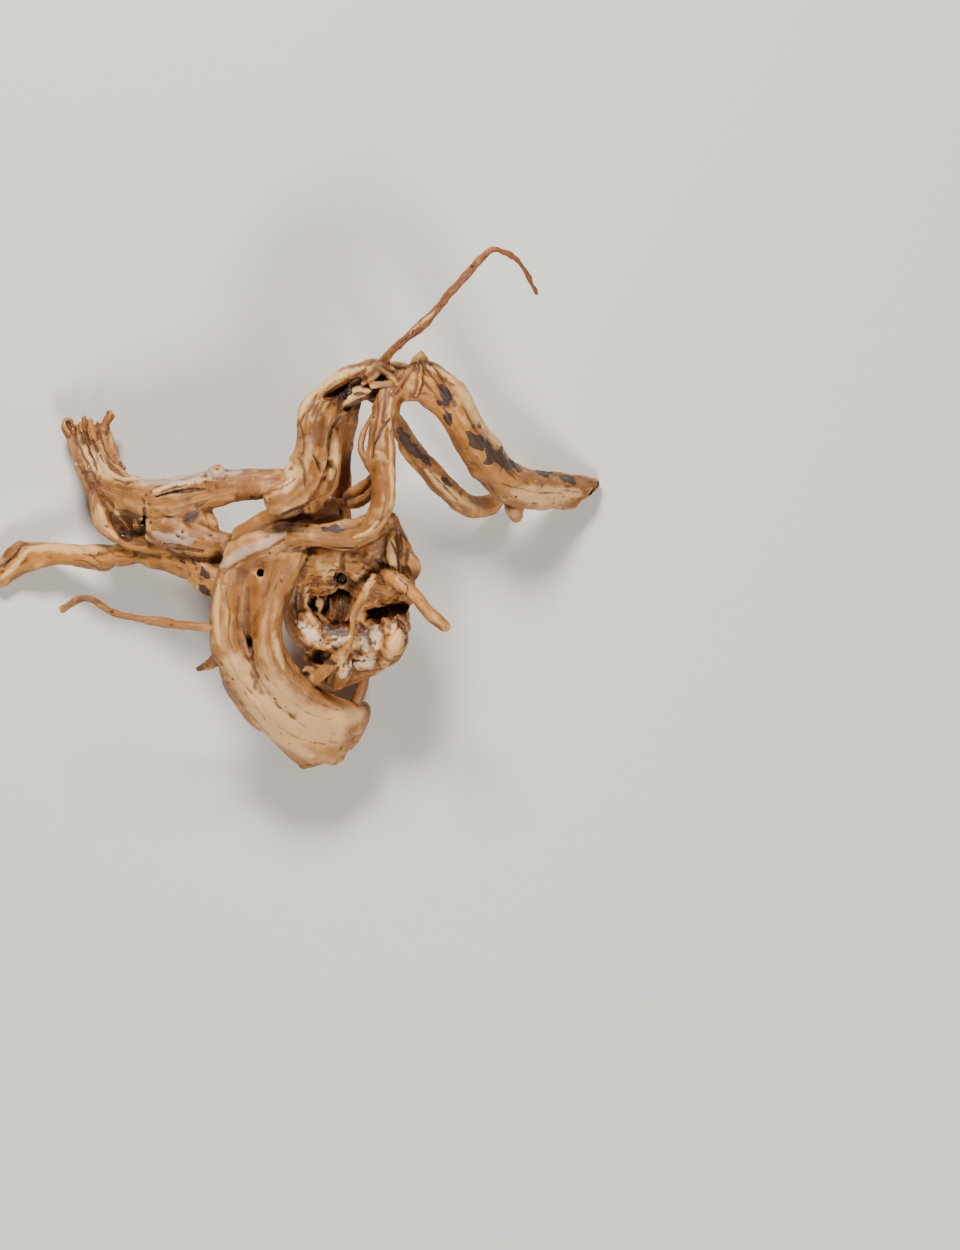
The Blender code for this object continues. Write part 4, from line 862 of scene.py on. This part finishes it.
def keep_outer_skin(thing):
    """Deletes the skins of sealed hollows and loose scraps: all that isn't linked to the highest point."""
    select_only(thing)
    heights = vertex_vectors(thing.data)[:, 2]
    bpy.ops.object.mode_set(mode="EDIT")
    bpy.ops.mesh.select_all(action="DESELECT")
    bpy.ops.object.mode_set(mode="OBJECT")
    thing.data.vertices[int(heights.argmax())].select = True
    bpy.ops.object.mode_set(mode="EDIT")
    bpy.ops.mesh.select_linked()
    bpy.ops.mesh.select_all(action="INVERT")
    bpy.ops.mesh.delete(type="VERT")
    bpy.ops.object.mode_set(mode="OBJECT")


def vertex_vectors(mesh, field="co"):
    """The place of every vertex, or its normal."""
    vectors = np.empty(len(mesh.vertices) * 3, np.float32)
    mesh.vertices.foreach_get(field, vectors)
    return vectors.reshape(-1, 3).astype(float)


def move_vertices(mesh, places):
    mesh.vertices.foreach_set("co", places.astype(np.float32).ravel())
    mesh.update()


def grow_root():
    """The whole root before its grain is carved."""
    root = grow_all(TRUNK | LEFT_LIMBS | ARCH | KNOT | BACKINGS, "twisted_root")
    add_modifier(root, "fuse", "REMESH", mode="VOXEL", voxel_size=LIMB_VOXEL)
    add_modifier(root, "round_joins", "SMOOTH", factor=0.5, iterations=JOIN_SMOOTHING)
    hollows = grow_all(HOLLOWS | FINE_HOLLOWS, "hollows")
    add_modifier(root, "hollows", "BOOLEAN", object=hollows, operation="DIFFERENCE", solver="MANIFOLD")
    bpy.data.objects.remove(hollows)
    fine_limbs = grow_all(TWIGS | SPLINTERS | FOLDS, "fine_limbs")
    select_only(root, fine_limbs)
    bpy.ops.object.join()
    add_modifier(root, "fuse_fine_limbs", "REMESH", mode="VOXEL", voxel_size=FINE_VOXEL)
    keep_outer_skin(root)
    return root


# Grain


def smooth_noise(places, seed):
    """Smooth noise from -1 to 1 at each place, about one feature to a unit of length."""
    corner = np.floor(places).astype(np.int64)
    share = places - corner
    ease = share * share * (3 - 2 * share)
    total = np.zeros(len(places))
    for offset in product((0, 1), repeat=3):
        x, y, z = (corner + offset).T
        scrambled = (x * 73856093) ^ (y * 19349663) ^ (z * 83492791) ^ (seed * 97531)
        scrambled = (scrambled ^ (scrambled >> 13)) * 1274126177
        value = ((scrambled ^ (scrambled >> 16)) & 65535) / 32767.5 - 1
        total += value * np.prod(np.where(offset, ease, 1 - ease), axis=1)
    return total


def layered_noise(places, seed, layers=3):
    """Smooth noise with finer, weaker layers on it."""
    return sum(smooth_noise(places * 2**layer, seed + layer) / 2**layer for layer in range(layers)) / 1.5


class Grain:
    """Where every point of the surface lies along, across and round the limb that it belongs to."""

    def __init__(self, limbs):
        centres, radii, ways, sides, runs, numbers = [], [], [], [], [], []
        for number, (_, stations) in enumerate(limbs.values()):
            route = smooth_route(stations, GRAIN_STEPS)
            run = np.concatenate(([0], np.cumsum(np.linalg.norm(np.diff(route[:, :3], axis=0), axis=1))))
            even = np.arange(0, run[-1], GRAIN_SPACING)
            even_route = np.stack([np.interp(even, run, column) for column in route.T], axis=1)
            travel = directions_along(even_route[:, :3])
            side = Vector(travel[0]).orthogonal().normalized()
            for last_way, way in zip([travel[0], *travel], travel):
                side = Vector(last_way).rotation_difference(Vector(way)) @ side
                sides.append(tuple(side))
            centres.append(even_route[:, :3])
            radii.append(even_route[:, 3])
            ways.append(travel)
            runs.append(even + number)  # limbs lie a metre apart in the grain, so that no two look alike
            numbers.append(np.full(len(even), number))
        self.centre = np.concatenate(centres)
        self.radius = np.concatenate(radii)
        self.way = np.concatenate(ways)
        self.side = np.array(sides)
        self.up = np.cross(self.way, self.side)
        self.run = np.concatenate(runs)
        self.number = np.concatenate(numbers)

    def nearest(self, places):
        """The nearest samples of the nearest limb and of the next one, and how far each is in radii."""
        found = []
        for part in np.array_split(places, max(1, len(places) // 8000)):
            gap = (part**2).sum(1)[:, None] + (self.centre**2).sum(1) - 2 * part @ self.centre.T
            gap = np.sqrt(np.maximum(gap, 0)) / self.radius
            first = gap.argmin(1)
            first_gap = gap.min(1)
            gap[self.number[first][:, None] == self.number] = np.inf
            found.append((first, first_gap, gap.argmin(1), gap.min(1)))
        return [np.concatenate(column) for column in zip(*found)]

    def coordinates(self, places, sample):
        """Across, depth and run of each place, in metres, along the limb of its sample."""
        offset = places - self.centre[sample]
        across = (offset * self.side[sample]).sum(1)
        depth = (offset * self.up[sample]).sum(1)
        run = self.run[sample] + (offset * self.way[sample]).sum(1)
        return np.stack([across, depth, run], axis=1)

    def at(self, places):
        """Both limbs' coordinates, and the share of the second limb's, which is half where the two meet."""
        first, first_gap, second, second_gap = self.nearest(places)
        share = np.clip(1 - (second_gap - first_gap) / 0.5, 0, 1)
        return self.coordinates(places, first), self.coordinates(places, second), 0.5 * share**2, first


def along_grain(grain_place, across, along, seed, layers=3):
    """Noise drawn out along the limbs: features are about this wide across and this long, in millimetres."""
    first, second, share = grain_place[:3]
    stretch = np.array([1 / across, 1 / across, 1 / along]) / MM
    on_first, on_second = (layered_noise(place * stretch, seed, layers) for place in (first, second))
    return (1 - share) * on_first + share * on_second


def mesh_edges(mesh):
    edges = np.empty(len(mesh.edges) * 2, np.int64)
    mesh.edges.foreach_get("vertices", edges)
    return edges.reshape(-1, 2)


def spread(values, edges, passes):
    """Values on vertices, averaged with their neighbours' a few times."""
    values = np.asarray(values, float)
    count = np.bincount(edges.ravel(), minlength=len(values))
    for _ in range(passes):
        total = np.bincount(edges[:, 0], values[edges[:, 1]], len(values))
        total += np.bincount(edges[:, 1], values[edges[:, 0]], len(values))
        values = 0.5 * values + 0.5 * total / np.maximum(count, 1)
    return values


def lies_over(places, points, width):
    """How fully each place lies under a stroke through the points, seen from above, from 0 to 1."""
    points = np.array(points, float) * MM
    middle = points.mean(0)
    reach = np.linalg.norm(points - middle, axis=1).max() + 2 * width * MM
    near = np.flatnonzero(np.abs(places[:, :2] - middle).max(1) < reach)
    cover = np.zeros(len(places))
    spots = places[near, :2]
    if len(points) == 1:
        points = np.concatenate([points, points + 1e-6])
    lengths = np.linalg.norm(np.diff(points, axis=0), axis=1)
    before = np.concatenate(([0], np.cumsum(lengths))) / lengths.sum()
    best = np.zeros(len(near))
    for start, end, start_share, end_share in zip(points, points[1:], before, before[1:]):
        step = end - start
        share = np.clip((spots - start) @ step / (step @ step), 0, 1)
        gap = np.linalg.norm(spots - start - share[:, None] * step, axis=1)
        along = start_share + share * (end_share - start_share)
        taper = STROKE_END + (1 - STROKE_END) * np.sin(math.pi * along)
        best = np.maximum(best, np.clip(1 - gap / (width * taper * MM), 0, 1))
    cover[near] = best * best * (3 - 2 * best)
    return cover


def wavered(places):
    """The places, moved about a little, so that strokes through them waver as cracks do."""
    moved = places.copy()
    for column, seed in ((0, 91), (1, 97)):
        moved[:, column] += WAVER * MM * layered_noise(places / WAVER_LENGTH, seed, layers=2)
    return moved


def scrap_cover(places, cover):
    """A cover with a ragged edge, as scraps of bark have."""
    fray = SCRAP_FRAY * layered_noise(places / SCRAP_LENGTH, 101, layers=3)
    return np.clip((cover + fray - SCRAP_EDGE) * SCRAP_SHARPNESS, 0, 1) * (cover > 0)


def skin_tree(mesh):
    """A tree that rays can be cast at."""
    corners = [vertex.co for vertex in mesh.vertices]
    return BVHTree.FromPolygons(corners, [face.vertices for face in mesh.polygons])


def seen_from_above(tree, places, normals):
    """Which places have nothing above them."""
    up = Vector((0, 0, 1))
    starts = places + normals * SEEN_GAP
    seen = np.zeros(len(places))
    for number in np.flatnonzero(normals[:, 2] > LEAST_FACING):
        seen[number] = tree.ray_cast(Vector(starts[number]), up)[0] is None
    return seen


def openness(tree, places, normals):
    """How much of the sky over each place is clear within a short reach, from 0 to 1."""
    spiral = [(math.sqrt((number + 0.5) / SKY_RAYS), number * GOLDEN_ANGLE) for number in range(SKY_RAYS)]
    rays = [Vector((r * math.cos(a), r * math.sin(a), math.sqrt(1 - r * r))) for r, a in spiral]
    clear = np.empty(len(places))
    for number, (place, normal) in enumerate(zip(places, normals)):
        normal = Vector(normal)
        facing = normal.to_track_quat("Z", "Y")
        start = Vector(place) + normal * SKY_GAP
        open_share = 0
        for ray in rays:
            hit_distance = tree.ray_cast(start, facing @ ray, SKY_REACH)[3]
            open_share += 1 if hit_distance is None else hit_distance / SKY_REACH
        clear[number] = open_share / SKY_RAYS
    return clear


def within(places, centre, reach):
    """How far each place lies inside a rounded region, from 0 at its edge to 1 well inside."""
    distance = np.linalg.norm((places - np.array(centre) * MM) / (np.array(reach) * MM), axis=1)
    return np.clip(3 * (1 - distance), 0, 1)


def worn_smooth(places):
    """The share of the relief that is worn away at each place."""
    most = np.zeros(len(places))
    for share, centre, reach in SMOOTH_REGIONS:
        most = np.maximum(most, share * within(places, centre, reach))
    return most


def ridged(noise):
    """Noise folded into ridges."""
    return np.abs(noise) - RIDGE_MIDDLE


def relief(places, grain_place):
    """How far the grain stands out of each place, in millimetres."""
    facets = along_grain(grain_place, 11, 45, seed=5, layers=2)
    planes = ridged(along_grain(grain_place, 10, 22, seed=17, layers=2))
    flutes = ridged(along_grain(grain_place, 5, 60, seed=11, layers=2))
    fibres = ridged(along_grain(grain_place, 2.2, 30, seed=23, layers=2))
    knobs = layered_noise(places / (13 * MM), 37)
    notches = np.clip(layered_noise(places / (7 * MM), 41) - 0.45, 0, 1)
    gnarl = ridged(layered_noise(places / (7.5 * MM), 53))
    coral = ridged(layered_noise(places / (2.6 * MM), 59, layers=2))
    in_knot = within(places, *KNOT_REGION)
    plain = 2.4 * facets + 2.0 * planes + 1.3 * flutes + 0.7 * fibres + 1.8 * knobs - 2.4 * notches
    plain *= 1 - worn_smooth(places)
    return plain + in_knot * (2.8 * gnarl + 0.9 * coral - 1.2 * flutes)


def choose_pits(places):
    """Places and radii of small round pits, as insects leave, and of the crowded ones of a porous patch."""
    chance = np.random.default_rng(PIT_SEED)
    chosen = places[chance.integers(0, len(places), PIT_COUNT)]
    pits = list(zip(chosen, chance.uniform(*PIT_RADII, PIT_COUNT) * MM))
    across = np.linalg.norm(places[:, :2] - np.array(POROUS_CENTRE[:2]) * MM, axis=1)
    patch = places[(across < POROUS_REACH) & (places[:, 2] > POROUS_CENTRE[2] * MM)]
    crowded = patch[chance.integers(0, len(patch), POROUS_COUNT)]
    return pits + list(zip(crowded, chance.uniform(*POROUS_RADII, POROUS_COUNT) * MM))


def pit_cover(places, pits):
    """How deep in a pit each place lies, from 0 to 1."""
    cover = np.zeros(len(places))
    for centre, radius in pits:
        near = np.flatnonzero(np.abs(places - centre).max(1) < 2 * radius)
        gap = np.linalg.norm(places[near] - centre, axis=1) / (1.4 * radius)
        cover[near] = np.maximum(cover[near], np.clip(1 - gap, 0, 1))
    return cover


def carve(root, grain, pits):
    """Carves the grain, the pits, and the marks that stand out of the wood or lie in it."""
    mesh = root.data
    places = vertex_vectors(mesh)
    normals = vertex_vectors(mesh, "normal")
    grain_place = grain.at(places)
    thickness = np.clip(grain.radius[grain_place[3]] / FULL_RELIEF_RADIUS, LEAST_RELIEF, 1)
    height = relief(places, grain_place) * thickness
    height += (1 - thickness) * TWIG_KNOBS * layered_noise(places / (4 * MM), 43)
    seen = seen_from_above(skin_tree(mesh), places, normals)
    spots = wavered(places)
    bark = np.zeros(len(places))
    for finish, width, stand, points in MARKS.values():
        if finish == "bark":
            bark = np.maximum(bark, lies_over(spots, points, width * BARK_SPREAD))
        if stand:
            height += stand * thickness * seen * lies_over(spots, points, width)
    height += BARK_RISE * seen * scrap_cover(places, bark)
    height -= PIT_DEPTH * thickness * pit_cover(places, pits)
    move_vertices(mesh, places + normals * spread(height * MM, mesh_edges(mesh), 1)[:, None])


def wear_flat(root):
    """Presses the root's lowest points flat where they meet the floor."""
    places = vertex_vectors(root.data)
    places[:, 2] = np.maximum(places[:, 2], 0)
    move_vertices(root.data, places)


def thin_out(root):
    """Brings the mesh under the most triangles that a piece may have, and keeps detail where it is."""
    triangles = sum(len(face.vertices) - 2 for face in root.data.polygons)
    if triangles > MOST_TRIANGLES:
        add_modifier(root, "thin_out", "DECIMATE", ratio=MOST_TRIANGLES / triangles)


# Finish


def add_values(mesh, name, values):
    """Keeps a value for every vertex, for the material to read."""
    kind = "FLOAT" if values.ndim == 1 else "FLOAT_VECTOR"
    field = "value" if values.ndim == 1 else "vector"
    attribute = mesh.attributes.new(name, kind, "POINT")
    attribute.data.foreach_set(field, values.astype(np.float32).ravel())


def add_finish_values(root, grain, pits):
    """Works out where the wood is hollow or creased, for painted shade, where it stands proud, for wear and a
    painted highlight, where it is cracked or barked, and how its grain runs.
    """
    mesh = root.data
    places = vertex_vectors(mesh)
    normals = vertex_vectors(mesh, "normal")
    edges = mesh_edges(mesh)
    tree = skin_tree(mesh)
    seen = spread(seen_from_above(tree, places, normals), edges, 5)
    grain_place = grain.at(places)
    first, sample = grain_place[0], grain_place[3]

    even = np.ones(len(places))
    limb = grain.number[sample]
    ends = edges[limb[edges[:, 0]] != limb[edges[:, 1]]].ravel()
    even[ends] = 0
    add_values(mesh, "grain", first)
    add_values(mesh, "grain_even", even)

    # How far the wood stands proud of its smoothed self: pale wear and painted highlight on ridges, painted
    # shade in creases
    smoothed = np.stack([spread(column, edges, 10) for column in places.T], axis=1)
    proud = ((places - smoothed) * normals).sum(1) / MM
    radius = grain.radius[sample] / MM
    add_values(mesh, "wear_highlight_and_crease_shade", proud - np.median(proud * radius) / radius)
    # How open the sky is over each place, for painted shade in hollows
    add_values(mesh, "open", spread(openness(tree, places, normals), edges, 2))
    add_values(mesh, "streak", along_grain(grain_place, 3, 40, seed=71, layers=3))
    add_values(mesh, "band", along_grain(grain_place, 9, 70, seed=83, layers=2))
    add_values(mesh, "pit", pit_cover(places, pits))
    spots = wavered(places)
    for finish in FINISHES:
        cover = np.zeros(len(places))
        for mark_finish, width, _, points in MARKS.values():
            if mark_finish == finish:
                spread_width = width * BAND_SPREAD if width > LINE_WIDTH else width
                cover = np.maximum(cover, lies_over(spots, points, spread_width))
        if finish == "bark":
            cover = scrap_cover(places, cover)
        add_values(mesh, "mark_" + finish, cover * seen)


class Nodes:
    """Short ways to add nodes to a material."""

    def __init__(self, name):
        self.material = bpy.data.materials.new(name)
        self.material.use_nodes = True
        self.tree = self.material.node_tree
        self.shader = self.tree.nodes["Principled BSDF"]
        self.place = self.tree.nodes.new("ShaderNodeTexCoord").outputs["Object"]

    def node(self, kind, *inputs, **settings):
        made = self.tree.nodes.new(kind)
        for setting, value in settings.items():
            setattr(made, setting, value)
        for socket, value in zip(made.inputs, inputs):
            self.fill(socket, value)
        return made

    def fill(self, socket, value):
        if isinstance(value, bpy.types.NodeSocket):
            self.tree.links.new(value, socket)
        elif value is not None:
            socket.default_value = value

    def value(self, name):
        return self.node("ShaderNodeAttribute", attribute_name=name).outputs["Fac"]

    def vector(self, name):
        return self.node("ShaderNodeAttribute", attribute_name=name).outputs["Vector"]

    def math(self, operation, a, b):
        return self.node("ShaderNodeMath", a, b, operation=operation).outputs[0]

    def centred(self, noise, factor):
        """Noise moved to lie round 0, times a factor."""
        return self.math("MULTIPLY", self.math("SUBTRACT", noise, 0.5), factor)

    def scaled(self, vector, scale):
        return self.node("ShaderNodeVectorMath", vector, scale, operation="MULTIPLY").outputs[0]

    def noise(self, vector, scale, detail, roughness=0.55):
        made = self.node("ShaderNodeTexNoise")
        settings = {"Vector": vector, "Scale": scale, "Detail": detail, "Roughness": roughness}
        for socket, value in settings.items():
            self.fill(made.inputs[socket], value)
        return made.outputs["Fac"]

    def ramp(self, *ends):
        """A value, spread with soft ends from one range, low and high, over another."""
        return self.node("ShaderNodeMapRange", *ends, interpolation_type="SMOOTHSTEP").outputs["Result"]

    def mix(self, share, under, over):
        made = self.node("ShaderNodeMix", data_type="RGBA")
        self.fill(made.inputs["Factor"], share)
        self.fill(made.inputs[6], under)
        self.fill(made.inputs[7], over)
        return made.outputs[2]


def wood_material():
    """Bare root wood: tan, streaked along the grain, pale with wear, with a painted highlight on ridges and
    painted shade in creases and hollows, some of it barked.
    """
    wood = Nodes("bare_root_wood")
    broad = wood.noise(wood.place, 38, 3)
    blotches = wood.noise(wood.place, 120, 4, 0.6)
    specks = wood.noise(wood.place, 620, 4, 0.65)
    torn = wood.math("ADD", blotches, wood.centred(specks, 0.6))
    fibres = wood.noise(wood.scaled(wood.vector("grain"), FIBRE_SCALE), 1, 4, 0.6)
    fibres = wood.math("ADD", wood.centred(fibres, wood.value("grain_even")), 0.5)
    tone = wood.math("ADD", wood.math("MULTIPLY", wood.value("band"), 0.6), broad)
    wear_highlight_and_crease_shade = wood.value("wear_highlight_and_crease_shade")
    clear = wood.value("open")

    def mark(finish, fray=0.9):
        """A mark with ragged edges."""
        return wood.math("ADD", wood.value("mark_" + finish), wood.centred(torn, fray))

    colour = TAN_DEEP
    for value, low, high, most, coat in (  # each coat covers the last as its value goes from low to high
        (tone, 0.36, 0.66, 1, TAN_LIGHT),
        (blotches, 0.5, 0.72, 0.6, TAN_ORANGE),
        (wood.value("streak"), 0.05, 0.5, 0.6, TAN_BROWN),
        (broad, 0.46, 0.28, 0.45, ORANGE_BROWN),
        (fibres, 0.53, 0.74, 0.5, TAN_BROWN),
        (fibres, 0.45, 0.24, 0.42, PALE_WEAR_AND_HIGHLIGHT),
        (mark("gold"), 0.1, 0.8, 0.75, GOLD_TAN),
        (mark("warm"), 0.15, 0.9, 0.7, ORANGE_BROWN),
        (mark("red"), 0.05, 0.5, 0.8, TWIG_RED),
        (mark("brown"), 0.25, 0.8, 0.8, STAIN_AND_SHADE_BROWN),
        (mark("olive"), 0.1, 0.6, 0.8, OLIVE_BROWN),
        (mark("pale"), 0.1, 0.95, 0.82, PALE_WEAR_AND_HIGHLIGHT),
        (mark("grey"), 0.3, 0.95, 0.6, WEATHERED_GREY),
        (mark("plum"), 0.25, 0.6, 0.9, PLUM_GREY),
        (mark("white", 1.8), 0.25, 0.8, 0.8, BLEACHED_WHITE),
        # pale wear and painted highlight where the wood stands proud
        (wear_highlight_and_crease_shade, 0.1, 0.55, 0.44, PALE_WEAR_AND_HIGHLIGHT),
        # painted shade, brown in creases
        (wear_highlight_and_crease_shade, -0.05, -0.4, 0.9, STAIN_AND_SHADE_BROWN),
        (specks, 0.6, 0.76, 0.55, STAIN_AND_SHADE_BROWN),
        # painted shade, brown where little sky is open over the wood
        (clear, 0.66, 0.28, 0.88, STAIN_AND_SHADE_BROWN),
        (mark("bark", 1.5), 0.25, 0.7, 0.93, BARK_PURPLE),
        (mark("dark"), 0.3, 0.75, 0.85, DARK_BROWN),
        (mark("dark"), 0.75, 1.1, 0.95, CRACK_AND_SHADE_BLACK),
        (wood.value("pit"), 0.2, 0.5, 0.95, CRACK_AND_SHADE_BLACK),
        # painted shade, black in the deepest hollows
        (clear, 0.5, 0.12, 0.97, CRACK_AND_SHADE_BLACK),
    ):
        colour = wood.mix(wood.ramp(value, low, high, 0, most), colour, coat)
    wood.fill(wood.shader.inputs["Base Color"], colour)

    wood.fill(wood.shader.inputs["Roughness"], wood.ramp(blotches, 0.3, 0.7, 0.46, 0.72))
    rise = wood.math("ADD", wood.math("MULTIPLY", fibres, 0.6), wood.math("MULTIPLY", specks, 0.4))
    bump = wood.node("ShaderNodeBump")
    bump.inputs["Strength"].default_value = 0.7
    bump.inputs["Distance"].default_value = 0.5 * MM
    wood.fill(bump.inputs["Height"], rise)
    wood.fill(wood.shader.inputs["Normal"], bump.outputs["Normal"])
    return wood.material


# The root


def make_floor():
    bpy.ops.mesh.primitive_plane_add(size=FLOOR_SIZE, location=(0, 0, -FLOOR_DROP))
    floor = bpy.context.object
    floor.name = "floor"
    bpy.ops.object.transform_apply(location=True, rotation=True, scale=True)
    material = bpy.data.materials.new("pale_floor")
    material.use_nodes = True
    shader = material.node_tree.nodes["Principled BSDF"]
    shader.inputs["Base Color"].default_value = FLOOR_GREY
    shader.inputs["Roughness"].default_value = 0.85
    floor.data.materials.append(material)


def area_light(name, place, size, power, colour):
    light = bpy.data.lights.new(name, "AREA")
    light.size = size
    light.energy = power
    light.color = colour
    lamp = bpy.data.objects.new(name, light)
    lamp.location = place
    lamp.rotation_euler = (Vector(LIT_POINT) - Vector(place)).to_track_quat("-Z", "Y").to_euler()
    bpy.context.scene.collection.objects.link(lamp)


def light_scene():
    for name, (place, size, power, colour) in LIGHTS.items():
        area_light(name, place, size, power, colour)
    world = bpy.data.worlds.new("studio")
    world.use_nodes = True
    air = world.node_tree.nodes["Background"]
    air.inputs["Color"].default_value = STUDIO_AIR
    air.inputs["Strength"].default_value = STUDIO_GLOW
    bpy.context.scene.world = world


def make_camera():
    camera = bpy.data.cameras.new("camera")
    camera.sensor_width = 36
    camera.lens = camera.sensor_width * CAMERA_DISTANCE / (PHOTO_SIZE[1] * PHOTO_PIXEL)
    camera.clip_end = 20
    holder = bpy.data.objects.new("camera", camera)
    holder.location = (*PHOTO_CENTRE, MIDDLE_HEIGHT + CAMERA_DISTANCE)
    bpy.context.scene.collection.objects.link(holder)
    bpy.context.scene.camera = holder


def build():
    deselect_all()
    grain = Grain(TRUNK | LEFT_LIMBS | ARCH | KNOT | TWIGS | SPLINTERS | FOLDS)
    root = grow_root()
    pits = choose_pits(vertex_vectors(root.data))
    carve(root, grain, pits)
    thin_out(root)
    wear_flat(root)
    select_only(root)
    bpy.ops.object.shade_smooth()
    add_finish_values(root, grain, pits)
    root.data.materials.clear()
    root.data.materials.append(wood_material())
    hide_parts("spiderwood_root")
    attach(root, "root")
    make_floor()
    light_scene()
    make_camera()


build()
